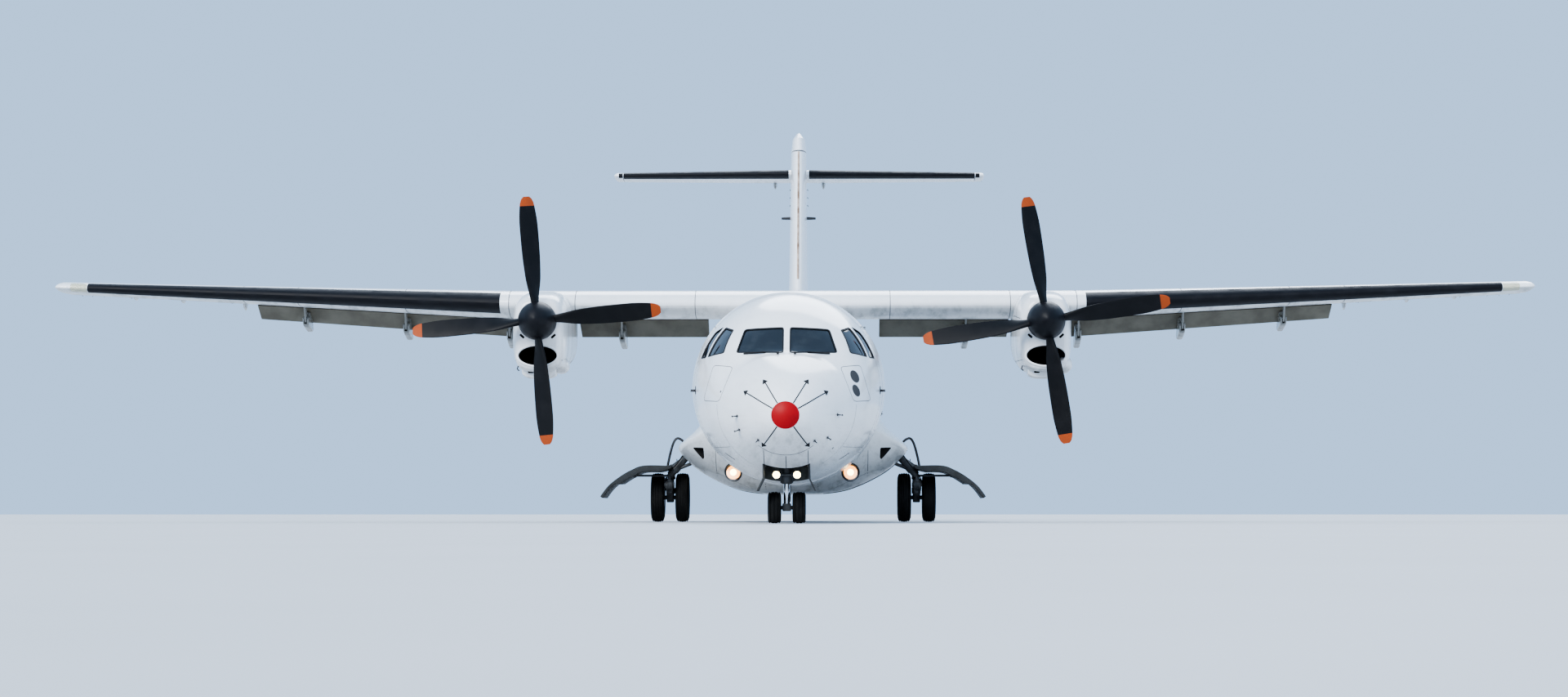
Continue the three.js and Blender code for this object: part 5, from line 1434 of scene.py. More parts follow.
for node, (inboard, outboard, end_gap, hinges) in FLAPS.items():
    axis = (flap_pivot(inboard) - flap_pivot(outboard)).normalized()
    pivot = flap_pivot(inboard)
    turn = Matrix.Translation(pivot) @ Matrix.Rotation(FLAP_REST, 4, axis) @ Matrix.Translation(-pivot)
    panel = span_skin(f"{node}_panel_port", spaced(inboard, outboard, 0.5), flap_outline, wing_point)
    pods = []
    for x in hinges:
        chord = wing_at(x)[1]
        pod = section_plate("pod", x, spline(POD_OUTLINE, 5, closed=True), 0.105, 0.030)
        pods.append(
            cut(pod, on_hinge("slot", x, axis, 0.05, 0.045 * chord), on_hinge("bore", x, axis, 0.2, 0.0275))
        )
        bracket = fused(
            section_plate("flap_bracket", x, BRACKET_OUTLINE, 0.030),
            on_hinge("boss", x, axis, 0.030, 0.033 * chord),
            on_hinge("pin", x, axis, 0.112, 0.026),
        )
        bracket.name = f"{node}_bracket_{round(x * 1000)}_port"
        place_pair(bracket, pod_paint, "airframe")
        slot = on_hinge("panel_slot", x, axis, 0.05, 0.045 * chord)
        cut(panel, slot)
    moved(panel, turn)
    place_pair(panel, flap_metal, f"{node}_port", f"{node}_port", degrees=28)
    fairing = moved(joined(f"{node}_pods_port", *pods), turn)
    place_pair(fairing, pod_paint, f"{node}_port", degrees=40)

aileron = span_skin(
    "aileron_panel_port",
    spaced(AILERON[0], AILERON[1], 0.4),
    lambda x: moving_outline(aileron_section(x)),
    wing_point
)
place_pair(aileron, wing_paint, "aileron_port", "aileron_port", degrees=28)
tab_line = []
for x in (9.9, 10.9):
    chord = wing_at(x)[1]
    for sign in (1, -1):
        a = wing_point(x, 0.9 * chord, wing_surface(0.9, wing_at(x)[3], sign) * chord)
        b = wing_point(x, 1.0 * chord, wing_surface(1.0, wing_at(x)[3], sign) * chord)
        tab_line.append(rod("tab_gap", a, b, 0.004, 8))
place_pair(joined("aileron_tab_lines_port", *tab_line), seam_dark, "aileron_port")

boot = wing_band(*BOOT_SPAN, BOOT_RISE, BOOT_REACH)
boot.name = "wing_boot_port"
place_pair(boot, boot_rubber, "airframe", degrees=40)
seams = [wing_band(x - 0.005, x + 0.005, SEAM_RISE, 0.70) for x in WING_SEAMS]
place_pair(joined("wing_seams_port", *seams), seam_dark, "airframe")

hatches = []
for x in HATCHES:
    chord = wing_at(x)[1]
    turns = full_turn(32)
    route = [(x + 0.13 * cos(a), wing_at(x)[0] + 0.38 * chord + 0.20 * sin(a), 2.8) for a in turns]
    hatches.append(strip(
        "hatch",
        traced(bpy.data.objects["wing_outer_skin_port"], route, (0, 0, 1), 0.05, closed=True),
        0.006,
        SEAM_RISE
    ))
place_pair(joined("wing_hatches_port", *hatches), seam_dark, "airframe")

lamp_rings = []
for x, k in (
    (11.74, 0.01), (11.76, 0.6), (11.80, 0.95), (11.88, 1.0), (11.96, 0.9), (12.00, 0.55), (12.02, 0.01)
):
    _, chord, _, thickness = wing_at(x)
    outer, inner = [], []
    for along, side in around_nose(0.075, 24):
        half = half_thickness(along, thickness) * chord
        outer.append((along * chord - 0.003 * k, camber_at(along) * chord + side * (half + 0.003 * k)))
        inner.append((along * chord + 0.01, camber_at(along) * chord + side * max(half - 0.012, 0)))
    lamp_rings.append([wing_point(x, u, w) for u, w in outer + inner[::-1]])
lens = skin("tip_lens_port", lamp_rings)
place_pair(lens, tip_lens, "airframe", degrees=50)
for name, sign, finish in (("port", 1, red_lens), ("starboard", -1, green_lens)):
    bulb = wing_point(12.18, 0.10 * wing_at(12.1)[1], 0.01)
    place(
        ball(f"position_light_{name}", (sign * bulb.x, bulb.y, bulb.z), (0.05, 0.11, 0.035)),
        finish,
        "airframe"
    )
wicks = []
for x in (11.75, 11.95, 12.12):
    chord = wing_at(x)[1]
    tail = wing_point(x, chord - 0.01, 0)
    wicks.append(wick(tail, (0.02, 0.16, -0.01)))
for x in (9.6, 10.4, 11.3):
    chord = wing_at(x)[1]
    wicks.append(wick(wing_point(x, chord - 0.012, 0), (0, 0.13, -0.01)))
place_pair(joined("tip_wicks_port", *wicks[:3]), seam_dark, "airframe")
place_pair(joined("aileron_wicks_port", *wicks[3:]), seam_dark, "aileron_port")
fairings = []
for x, drop in ((9.25, 0.12), (10.30, 0.05), (11.10, 0.045)):
    _, chord, _, thickness = wing_at(x)
    rings = []
    for k, w in ((0.52, 0.0), (0.56, 0.55), (0.62, 0.9), (0.68, 1.0), (0.715, 0.8)):
        low = wing_surface(k, thickness, -1) * chord
        turns = full_turn(24)
        rings.append([
            wing_point(
                x + 0.028 * w * cos(a), k * chord, low + drop * w * sin(a) * (1 if sin(a) < 0 else 0.2)
            )
            for a in turns
        ])
    fairings.append(skin("hinge_fairing", rings))
place_pair(joined("hinge_fairings_port", *fairings), wing_paint, "airframe", degrees=40)

# Nacelles

NACELLE_X, HUB_Z = 4.05, 3.205
NACELLE_EXPONENT = 3.4
NACELLE = smooth(
    [
        # y, half width, top, bottom
        (-3.56, 0.335, 3.545, 2.430),
        (-3.40, 0.400, 3.615, 2.400),
        (-3.00, 0.438, 3.685, 2.395),
        (-2.40, 0.446, 3.750, 2.400),
        (-1.50, 0.435, 3.775, 2.480),
        (-0.50, 0.410, 3.720, 2.600),
        (0.40, 0.355, 3.620, 2.750),
        (1.00, 0.255, 3.500, 2.930),
        (1.35, 0.120, 3.330, 3.080),
    ]
)
COWL_FRONT, COWL_BACK, NACELLE_END = -3.56, -2.10, 1.35
INTAKE_Z, INTAKE_SIZE = 2.655, (0.318, 0.166)


def nacelle_point(y, angle, grow=0.0):
    """A place on the nacelle's skin, or off it by a distance."""
    half, top, bottom = NACELLE(y)
    across, up = superellipse(angle, NACELLE_EXPONENT)
    height = (top + bottom) / 2 + ((top - bottom) / 2 + grow) * up
    return Vector((NACELLE_X + (half + grow) * across, y, height))


def nacelle_ring(y, inset=0.0, sides=72):
    return [nacelle_point(y, a, -inset) for a in full_turn(sides)]


def intake_ellipse(grow, count=48):
    turns = full_turn(count)
    return [
        (NACELLE_X + (INTAKE_SIZE[0] + grow) * cos(a), INTAKE_Z + (INTAKE_SIZE[1] + grow) * sin(a))
        for a in turns
    ]


lip_rings = [nacelle_ring(COWL_FRONT + 0.055 * (1 - cos(t)), 0.055 * (1 - sin(t))) for t in quarter_turn(8)]
cowl_rings = lip_rings + [nacelle_ring(y) for y in spaced(COWL_FRONT + 0.09, COWL_BACK - FIT, 0.05)]
cowl = faced(skin("cowl_skin_port", cowl_rings), cowl_paint)
CHIN_SECTION = [
    (-1.0, 2.56), (-1.02, 2.44), (-0.94, 2.355), (-0.6, 2.308), (0.0, 2.300), (0.6, 2.308),
    (0.94, 2.355), (1.02, 2.44), (1.0, 2.56)
]
CHIN_HALF = 0.272
chin_curve = spline([(x * CHIN_HALF, z) for x, z in CHIN_SECTION], 5)
chin_rings = []
chin_rows = [
    (-3.30 + 0.03 * (1 - cos(t)), 1 - 0.10 * (1 - sin(t)), 0.035 * (1 - sin(t))) for t in quarter_turn(6)
]
chin_rows += [(-3.0, 1, 0), (-2.8, 0.99, 0.01), (-2.6, 0.95, 0.035), (-2.4, 0.89, 0.075), (-2.2, 0.80, 0.13)]
for y, spread, lift in chin_rows:
    chin_rings.append(
        [Vector((NACELLE_X + p.x * spread, y, p.y + (lift if p.y < 2.55 else 0))) for p in chin_curve]
    )
chin = faced(skin("chin_skin", chin_rings), cowl_paint)
fused(cowl, chin)
duct = faced(prism("duct", "y", intake_ellipse(0.0), COWL_FRONT - 0.1, COWL_FRONT + 1.2), duct_dark)
chin_mouth = faced(
    block("chin_mouth", (NACELLE_X - 0.175, NACELLE_X - 0.085), (-3.4, -3.0), (2.385, 2.465), 0.012),
    duct_dark
)
slots = []
for side in (-1, 1):
    middle = Vector((NACELLE_X + side * 0.25, COWL_FRONT, HUB_Z - 0.24))
    slot = block("cowl_slot", (-0.044, 0.044), (-0.06, 0.06), (-0.018, 0.018), 0.010)
    slots.append(faced(
        moved(slot, Matrix.Translation(middle) @ Matrix.Rotation(side * -radians(42), 4, "Y")), duct_dark
    ))
cut(cowl, duct, chin_mouth, *slots)
lip = []
for a in full_turn(64):
    middle = Vector((
        NACELLE_X + (INTAKE_SIZE[0] + 0.006) * cos(a),
        COWL_FRONT + 0.004,
        INTAKE_Z + (INTAKE_SIZE[1] + 0.006) * sin(a)
    ))
    outward = Vector((cos(a) / INTAKE_SIZE[0], 0, sin(a) / INTAKE_SIZE[1])).normalized()
    lip.append([middle + 0.020 * (outward * cos(t) + Vector((0, -1, 0)) * sin(t)) for t in full_turn(14)])
lip_skin = skin("intake_lip_port", lip + [lip[0]])


def cowl_pair(obj, finish, *nodes, degrees=32):
    """Places a cowl piece and the same piece, not its mirror image, on the other engine."""
    twin = moved(copy_of(obj, other_side(obj.name)), Matrix.Translation((-2 * NACELLE_X, 0, 0)))
    place(obj, finish, "airframe", *nodes, degrees=degrees)
    place(twin, finish, "airframe", *[other_side(n) for n in nodes], degrees=degrees)


cowl_pair(cowl, cowl_paint, "engine_cowl_port", degrees=30)
cowl_pair(lip_skin, cowl_paint, degrees=60)
bulge_rings = []
for y, r in (
    (-3.32, 0.0), (-3.30, 0.055), (-3.24, 0.095), (-3.10, 0.125), (-2.85, 0.135), (-2.55, 0.12),
    (-2.30, 0.08), (-2.15, 0.02)
):
    turns = full_turn(36)
    bulge_rings.append(
        [Vector((NACELLE_X + 0.325 + r * cos(a), y, HUB_Z - 0.675 + 1.05 * r * sin(a))) for a in turns]
    )
cowl_pair(skin("cowl_bulge_port", bulge_rings), cowl_paint, degrees=50)
cowl_pair(
    tube(
        "cowl_drain_port",
        [
            (NACELLE_X - 0.345, -3.10, 2.52),
            (NACELLE_X - 0.365, -3.11, 2.46),
            (NACELLE_X - 0.335, -3.12, 2.43)
        ],
        0.010
    ),
    dark_steel,
)


LINE_CORNERS = ((-1, SEAM_RISE), (1, SEAM_RISE), (1, -0.003), (-1, -0.003))


def nacelle_band(name, y, width, start, end):
    """A line across the nacelle, between two angles."""
    rings = []
    for i in range(73):
        a = radians(start + (end - start) * i / 72)
        rings.append([nacelle_point(y + side * width / 2, a, grow) for side, grow in LINE_CORNERS])
    return skin(name, rings)


def nacelle_seam(name, y0, y1, degrees, width=0.008):
    """A line along the nacelle's side."""
    rings = []
    for y in spaced(y0, y1, 0.08):
        rings.append([nacelle_point(y, radians(degrees) + side * width, grow) for side, grow in LINE_CORNERS])
    return skin(name, rings)


place_pair(
    joined(
        "nacelle_lines_port",
        nacelle_band("line", COWL_BACK, 0.010, -75, 255),
        nacelle_band("line", -2.85, 0.007, -40, 220),
        nacelle_band("line", -1.15, 0.007, -160, -20),
        *[nacelle_seam("seam", -3.45, COWL_BACK, a) for a in (12, 168, -32, 212)],
        *[nacelle_seam("seam", COWL_BACK, 0.6, a) for a in (-38, 218)],
    ),
    seam_dark,
    "airframe",
)

EXHAUST_FROM, EXHAUST_TO = Vector((4.33, -0.90, 2.90)), Vector((4.42, -0.15, 2.90))
aft_rings = [nacelle_ring(y) for y in spaced(COWL_BACK, NACELLE_END - 0.02, 0.07)]
aft_rings.append(nacelle_ring(NACELLE_END, 0.03))
aft = faced(skin("nacelle_skin_port", aft_rings), nacelle_paint)
pipe_line = (EXHAUST_TO - EXHAUST_FROM).normalized()
fused(
    aft,
    faced(
        rod("exhaust_hump", EXHAUST_FROM - pipe_line * 0.15, EXHAUST_TO - pipe_line * 0.10, 0.10, 48, 0.158),
        nacelle_paint
    )
)
cut(
    aft,
    faced(
        rod("exhaust_bore", EXHAUST_FROM + pipe_line * 0.3, EXHAUST_TO + pipe_line * 0.5, 0.146, 48),
        duct_dark
    )
)
place_pair(aft, nacelle_paint, "airframe", "nacelle_rear_port", degrees=30)
pipe_rings = []
for along, radius in (
    (0.35, 0.140), (0.72, 0.142), (0.765, 0.142), (0.768, 0.139), (0.765, 0.134), (0.35, 0.130)
):
    middle = EXHAUST_FROM + pipe_line * along
    side, up = pipe_line.cross(Vector((0, 0, 1))).normalized(), Vector((0, 0, 1))
    pipe_rings.append([middle + radius * (side * cos(a) + up * sin(a)) for a in full_turn(48)])
place_pair(skin("exhaust_pipe_port", pipe_rings), hot_steel, "airframe")

# Propellers

HUB_Y = -3.78
HUB = Vector((NACELLE_X, HUB_Y, HUB_Z))
SPINNER = smooth(
    [(0.0, 0.0), (0.015, 0.05), (0.060, 0.12), (0.190, 0.22), (0.335, 0.28), (0.505, 0.305), (0.625, 0.305)],
    warp=lambda d: sqrt(max(d, 0))
)
BLADE = smooth(
    [
        # radius, chord, thickness, angle from the disc's plane
        (0.15, 0.128, 0.110, 60),
        (0.27, 0.155, 0.100, 56),
        (0.42, 0.210, 0.076, 48),
        (0.70, 0.290, 0.042, 38),
        (1.10, 0.320, 0.028, 32),
        (1.50, 0.310, 0.020, 26),
        (1.85, 0.240, 0.014, 22),
        (1.94, 0.175, 0.010, 21),
        (1.98, 0.100, 0.006, 20),
    ]
)
BLADE_TIP_FROM, SPINNER_LENGTH, COWL_GAP_Y = 1.83, 0.625, -3.575
BLADE_LEAN = [("port", 1, 9), ("starboard", -1, 5)]  # side, sign, degrees that the upper blade leans


def blade_ring(radius, count=36):
    chord, thickness, degrees = BLADE(radius)
    c, s = cos(radians(degrees)), sin(radians(degrees))
    found = []
    for t in full_turn(count):
        along = 0.5 * cos(t)
        k = 0.5 - along
        flat = min(1, max(0, (radius - 0.25) / 0.25))
        round_half = 0.5 * abs(sin(t))
        foil_half = half_thickness(min(1, max(0, k)), 0.5) / 0.5
        half = (round_half * (1 - flat) + foil_half * flat) * copysign(1, sin(t))
        a, b = along * chord, half * thickness
        found.append(Vector((-a * c + b * s, -a * s - b * c, radius)))
    return found


def around(name, obj, count):
    parts = [obj]
    for turn in full_turn(count)[1:]:
        parts.append(moved(copy_of(obj, name), Matrix.Rotation(turn, 4, "Y")))
    return joined(name, *parts)


spinner_rings = []
for d in [SPINNER_LENGTH * (i / 26) ** 2 for i in range(27)]:
    radius = float(SPINNER(d)[0])
    spinner_rings.append([
        Vector((radius * cos(a), COWL_GAP_Y - SPINNER_LENGTH + d - HUB_Y, radius * sin(a)))
        for a in full_turn(64)
    ])
spinner = skin("spinner_cone", spinner_rings)
back_plate = rod("spinner_shaft", (0, 0.18, 0), (0, 0.34, 0), 0.07, 48)
blades = around("blade_set", skin("blade", [blade_ring(r) for r in spaced(0.15, BLADE_TIP_FROM, 0.06)]), 4)
tips = around(
    "blade_tips",
    skin(
        "tip", [blade_ring(r) for r in list(spaced(BLADE_TIP_FROM, 1.94, 0.03)) + [1.955, 1.967, 1.975, 1.98]]
    ),
    4
)
seam_ring = ring("spinner_seam", (0, 0.205 - SPINNER_LENGTH + 0.52, 0), 0.3045, 0.003, (0, 1, 0), 72, 8)
for side, sign, lean in BLADE_LEAN:
    stand = Matrix.Translation((sign * HUB.x, HUB.y, HUB.z)) @ Matrix.Rotation(-radians(lean), 4, "Y")
    body = f"propeller_{side}"
    for part, finish, nodes in (
        (spinner, spinner_black, [f"spinner_{side}"]),
        (back_plate, dark_steel, []),
        (blades, blade_black, [f"propeller_blades_{side}"]),
        (tips, blade_tip, []),
        (seam_ring, seam_dark, []),
    ):
        place(moved(copy_of(part, f"{part.name}_{side}"), stand), finish, body, *nodes, degrees=40)
for part in (spinner, back_plate, blades, tips, seam_ring):
    bpy.data.objects.remove(part)

# Tail

FIN_ROWS = [
    (3.20, 17.994, 21.938, 0.190), (7.20, 20.250, 22.420, 0.150), (7.48, 20.450, 22.450, 0.125),
    (7.59, 20.700, 22.400, 0.060)
]
DORSAL = smooth([
    (15.00, 3.440, 0.020), (16.20, 3.560, 0.060), (17.30, 3.800, 0.090), (18.25, 4.150, 0.110),
    (18.72, 4.450, 0.110)
])
STAB_Z, STAB_TIP, STAB_HORN = 6.8, 3.655, 3.47
FIN_SPAN, RUDDER_SPAN, CAP_FROM, CAP_REACH = (3.2, 7.195), (3.4, 7.221), 7.48, 0.11


def fin_at(z):
    """Leading edge station, chord, thickness and hinge of the fin at a height."""
    z = min(max(z, FIN_ROWS[0][0]), FIN_ROWS[-1][0])
    low, high = next((a, b) for a, b in zip(FIN_ROWS, FIN_ROWS[1:]) if z <= b[0])
    k = (z - low[0]) / (high[0] - low[0])
    leading, trailing, half = (low[i] + (high[i] - low[i]) * k for i in (1, 2, 3))
    hinge = 20.780 + (21.700 - 20.780) * (z - 3.3) / 3.9
    chord = trailing - leading
    return leading, chord, 2 * half / chord, (hinge - leading) / chord


def fin_section(z):
    _, chord, thickness, hinge = fin_at(z)
    return chord, thickness, 0.0, hinge


def fin_point(z, u, w):
    return Vector((w, station(fin_at(z)[0] + u), z))


def fin_foil(z, grow=0.0):
    _, chord, thickness, _ = fin_at(z)
    return aerofoil(chord, thickness, 0.0, grow)


def stab_at(x):
    k = abs(x) / STAB_TIP
    leading = 20.700 + 0.380 * k
    chord = 22.7166 + (22.400 - 22.7166) * k - leading
    hinge = 22.000 - 0.049 * k
    return leading, chord, 0.11, (hinge - leading) / chord


def stab_section(x):
    _, chord, thickness, hinge = stab_at(max(x, 0))
    return chord, thickness, 0.0, hinge


def stab_point(x, u, w):
    return Vector((x, station(stab_at(x)[0] + u), STAB_Z + w))


def stab_foil(x, grow=0.0):
    _, chord, thickness, _ = stab_at(x)
    return aerofoil(chord, thickness, 0.0, grow)


def rudder_swing():
    half = [(0.150, 21.380), (0.150, 21.600), (0.330, 21.950), (0.575, 22.800)]
    outline = [(x, station(s)) for x, s in half] + [(-x, station(s)) for x, s in reversed(half)]
    return faced(prism("rudder_swing", "z", outline, 6.4, 7.19), tail_paint)


def edge_band(name, places, section, at, reach, grow):
    """A band around a leading edge, between two places along the span."""
    rings = []
    for p in places:
        chord, thickness, _, _ = section(p)
        outer, inner = [], []
        for k, side in around_nose(reach, 40):
            half = half_thickness(k, thickness) * chord
            outer.append((k * chord - grow, side * (half + grow)))
            inner.append((k * chord + 0.006, side * max(half - 0.004, 0)))
        rings.append([at(p, u, w) for u, w in outer + inner[::-1]])
    return skin(name, rings)


stab = faced(
    skin(
        "stabiliser_skin",
        [[stab_point(x, u, w) for u, w in stab_foil(x)] for x in spaced(-STAB_HORN, STAB_HORN, 0.25)]
    ),
    tail_paint
)
stab_space = faced(
    span_skin(
        "elevator_space", [-0.001, STAB_HORN + 0.001], lambda x: bay_outline(stab_section(x)), stab_point
    ),
    tail_paint
)
cut(stab, mirrored(stab_space, "elevator_space_other"), stab_space, rudder_swing())
place(stab, tail_paint, "airframe", "stabiliser", degrees=28)

elevator = faced(
    span_skin(
        "elevator_panel_port", spaced(0.28, STAB_HORN + 0.012, 0.3),
        lambda x: moving_outline(stab_section(x)), stab_point
    ),
    tail_paint
)
horn_rings = [[stab_point(x, u, w) for u, w in stab_foil(x)] for x in (STAB_HORN + CLEAR, 3.54, 3.58)]
for turn in quarter_turn(8)[1:]:
    x = 3.58 + 0.075 * sin(turn)
    chord = stab_at(x)[1]
    scale, flat = 1 - 0.12 * (1 - cos(turn)), 1 - 0.75 * (1 - cos(turn))
    horn_rings.append([stab_point(x, chord / 2 + (u - chord / 2) * scale, w * flat) for u, w in stab_foil(x)])
fused(elevator, faced(skin("elevator_horn", horn_rings), tail_paint))
cut(elevator, rudder_swing())
place_pair(elevator, tail_paint, "elevator_port", "elevator_port", degrees=28)
place_pair(
    edge_band("stab_boot_port", spaced(0.20, 3.465, 0.4), stab_section, stab_point, 0.10, BOOT_RISE),
    boot_rubber,
    "airframe",
    degrees=40
)
place_pair(
    edge_band("horn_boot_port", (3.485, 3.56), stab_section, stab_point, 0.05, 0.002),
    boot_rubber,
    "elevator_port",
    degrees=40
)

fin = faced(span_skin("fin_skin", spaced(*FIN_SPAN, 0.25), fin_foil, fin_point), tail_paint)
dorsal_rings = []
for s in spaced(15.0, 18.72, 0.15):
    top, half = DORSAL(s)
    ring_points = []
    for i in range(25):
        a = pi * i / 24
        foot = 1 - sin(a)
        waist = 0.6 + 0.4 * foot**0.5 if 0 < i < 24 else 1
        height = FIN_SPAN[0] + (top - FIN_SPAN[0]) * sin(a) ** 0.6
        ring_points.append(Vector(((half + 0.10 * foot**3) * cos(a) * waist, station(s), height)))
    dorsal_rings.append(ring_points)
fused(fin, faced(skin("dorsal_skin", dorsal_rings), tail_paint))
fin_space = faced(
    span_skin("rudder_space", [3.15, 7.3], lambda z: bay_outline(fin_section(z)), fin_point), tail_paint
)
cut(fin, fin_space)
place(fin, tail_paint, "airframe", "fin", degrees=30)

rudder = faced(
    span_skin("rudder_panel", spaced(*RUDDER_SPAN, 0.3), lambda z: moving_outline(fin_section(z)), fin_point),
    tail_paint
)
cap_rings = [[fin_point(z, u, w) for u, w in fin_foil(z)] for z in (7.22, 7.30, 7.40, CAP_FROM)]
for turn in quarter_turn(8)[1:]:
    z = CAP_FROM + CAP_REACH * sin(turn)
    cap_rings.append([fin_point(z, u, w * (1 - 0.15 * (1 - cos(turn)))) for u, w in fin_foil(z)])
fused(rudder, faced(skin("rudder_cap", cap_rings), tail_paint))
place(rudder, tail_paint, "rudder", "rudder", degrees=28)
place(
    edge_band("fin_edge", spaced(4.6, 7.19, 0.4), fin_section, fin_point, 0.0016, 0.0015),
    edge_alloy,
    "airframe",
    degrees=40
)
tab_parts = []
for z in (3.75, 5.6):
    for sign in (1, -1):
        _, chord, thickness, _ = fin_at(z)
        a = fin_point(z, 0.90 * chord, sign * (half_thickness(0.90, thickness) * chord + 0.001))
        b = fin_point(z, 0.998 * chord, sign * 0.003)
        tab_parts.append(rod("rudder_tab", a, b, 0.004, 8))
place(joined("rudder_tab_lines", *tab_parts), seam_dark, "rudder")
beacon = fin_point(7.585, 0.55, 0)
place(ball("beacon", (0, beacon.y, 7.556), (0.034, 0.055, 0.033)), cap_paint, "rudder")
place(rod("beacon_foot", (0, beacon.y, 7.50), (0, beacon.y, 7.552), 0.040, 32), dark_steel, "rudder")
blades_set = []
for sign in (-1, 1):
    leading, chord, thickness, _ = fin_at(5.88)
    root = half_thickness(0.28, thickness) * chord - 0.01
    rings = []
    for k, w in ((0, 1), (0.5, 0.92), (1, 0.75)):
        turns = full_turn(24)
        rings.append([
            Vector((
                sign * (root + 0.18 * k),
                station(leading + 0.28 * chord) + 0.03 * k + 0.13 * w * cos(a),
                5.88 + 0.028 * w * sin(a)
            ))
            for a in turns
        ])
    blades_set.append(skin("fin_aerial", rings))
# Dark grey: painted shade on aerials whose paint is white-grey.
place(joined("fin_aerials", *blades_set), seam_dark, "airframe")
hooks = []
for z in (6.18, 6.34, 6.50):
    _, chord, thickness, _ = fin_at(z)
    for sign in (-1, 1):
        foot = fin_point(z, 0.45 * chord, sign * (half_thickness(0.45, thickness) * chord - 0.005))
        hooks.append(tube(
            "hook",
            [foot, foot + Vector((sign * 0.030, 0, 0.004)), foot + Vector((sign * 0.036, 0, -0.020))],
            0.006
        ))
place(joined("fin_hooks", *hooks), dark_steel, "airframe")
wick_set = []
for x in (1.6, 2.4, 3.2):
    wick_set.append(wick(stab_point(x, stab_at(x)[1] - 0.01, 0), (0, 0.095, 0)))
wick_set.append(rod(
    "wick", Vector((3.61, station(22.36), STAB_Z)), Vector((3.66, station(22.46), STAB_Z)), 0.004, 8, 0.002
))
place_pair(joined("elevator_wicks_port", *wick_set), seam_dark, "elevator_port")
FAIRING_X = 0.48
_, chord, thickness, hinge = stab_at(FAIRING_X)
rings = []
for k, w in ((-0.42, 0.0), (-0.36, 0.5), (-0.22, 0.9), (-0.08, 1.0), (-0.02, 0.75)):
    at_u = (hinge + k * 0.5) * chord
    low = -half_thickness(max(0, at_u / chord), thickness) * chord + 0.012
    drops = [low + 0.135 * w * sin(a) * (1 if sin(a) < 0 else 0.15) for a in full_turn(24)]
    rings.append(
        [stab_point(FAIRING_X + 0.043 * w * cos(a), at_u, drop) for a, drop in zip(full_turn(24), drops)]
    )
place_pair(skin("elevator_fairings_port", rings), pod_paint, "airframe", degrees=40)

# Main gear


def lathe_x(name, profile, centre_point, sides=72):
    """A profile of (radius, distance along X) turned about X."""
    centre_point = Vector(centre_point)
    rings = []
    for a in full_turn(sides):
        rings.append(
            [centre_point + Vector((along, radius * cos(a), radius * sin(a))) for radius, along in profile]
        )
    return skin(name, rings + [rings[0]])


def tyre_piece(name, x, y, radius, width, rim, sides=96, grooves=4):
    half = width / 2
    profile = []
    for k, r in (
        (-0.70, rim), (-0.80, rim + 0.004), (-0.93, rim + 0.25 * (radius - rim)),
        (-1.0, rim + 0.45 * (radius - rim)), (-0.98, rim + 0.65 * (radius - rim)),
        (-0.85, rim + 0.86 * (radius - rim)), (-0.70, rim + 0.96 * (radius - rim))
    ):
        profile.append((r, k * half))
    tread = []
    for g in range(grooves):
        middle = half * 0.55 * (-1 + 2 * g / (grooves - 1))
        for along, deep in ((-0.007, 0), (-0.005, 0.008), (0.005, 0.008), (0.007, 0)):
            crown = 0.010 * ((middle + along) / (0.62 * half)) ** 2
            tread.append((radius - crown - deep, middle + along))
    full = profile + tread + [(r, -k) for r, k in reversed(profile)]
    return lathe_x(name, full, (x, y, radius), sides)


def hub_piece(name, x, y, radius, rim, width, outward, bolts):
    outer = rim - 0.0015
    half = width / 2
    profile = [
        (0.0, -half * 0.5), (0.035, -half * 0.5), (0.04, -half * 0.2), (outer * 0.78, -half * 0.15),
        (outer * 0.86, -half * 0.8), (outer, -half), (outer, half), (outer * 0.90, half),
        (outer * 0.84, half * 0.55), (outer * 0.58, half * 0.30), (outer * 0.50, half * 0.62),
        (outer * 0.30, half * 0.72), (outer * 0.26, half * 0.95), (0.0, half * 0.95)
    ]
    rings = []
    for a in full_turn(72):
        rings.append(
            [Vector((x + outward * along, y + r * cos(a), radius + r * sin(a))) for r, along in profile]
        )
    parts = [skin(name, rings + [rings[0]], closed=False)]
    for a in full_turn(bolts):
        centre_point = Vector(
            (x + outward * half * 0.42, y + outer * 0.70 * cos(a), radius + outer * 0.70 * sin(a))
        )
        parts.append(rod(
            "hub_bolt",
            centre_point - Vector((outward * 0.02, 0, 0)),
            centre_point + Vector((outward * 0.018, 0, 0)),
            0.009 if radius > 0.3 else 0.006,
            6
        ))
    return joined(name, *parts)


WHEEL_X, WHEEL_Y, WHEEL_R, WHEEL_GAP = 2.05, -0.85, 0.4065, 0.410
LEG_Y, ARM_Z = -1.230, 0.620
TYRE_WIDTH, RIM_R, HUB_WIDTH = 0.223, 0.205, 0.180
for where, offset, outward in (("inner", -1, -1), ("outer", 1, 1)):
    x = WHEEL_X + offset * WHEEL_GAP / 2
    place_pair(
        tyre_piece(f"tyre_{where}_port", x, WHEEL_Y, WHEEL_R, TYRE_WIDTH, RIM_R),
        tyre_rubber,
        "main_wheels_port",
        f"main_tyre_{where}_port",
        degrees=40
    )
    hub = hub_piece(f"hub_{where}_port", x, WHEEL_Y, WHEEL_R, RIM_R, HUB_WIDTH, outward, 9)
    place_pair(
        hub, hub_paint, "main_wheels_port", *(["main_hubs_port"] if where == "inner" else []), degrees=35
    )
place_pair(
    rod("main_axle_port", (WHEEL_X - 0.2, WHEEL_Y, WHEEL_R), (WHEEL_X + 0.2, WHEEL_Y, WHEEL_R), 0.035, 40),
    dark_steel,
    "main_wheels_port"
)
brakes = []
for side in (-1, 1):
    x = WHEEL_X + side * 0.135
    brakes.append(rod("brake", (x - 0.035, WHEEL_Y, WHEEL_R), (x + 0.035, WHEEL_Y, WHEEL_R), 0.155, 48))
brake_set = joined("brakes_port", *brakes)
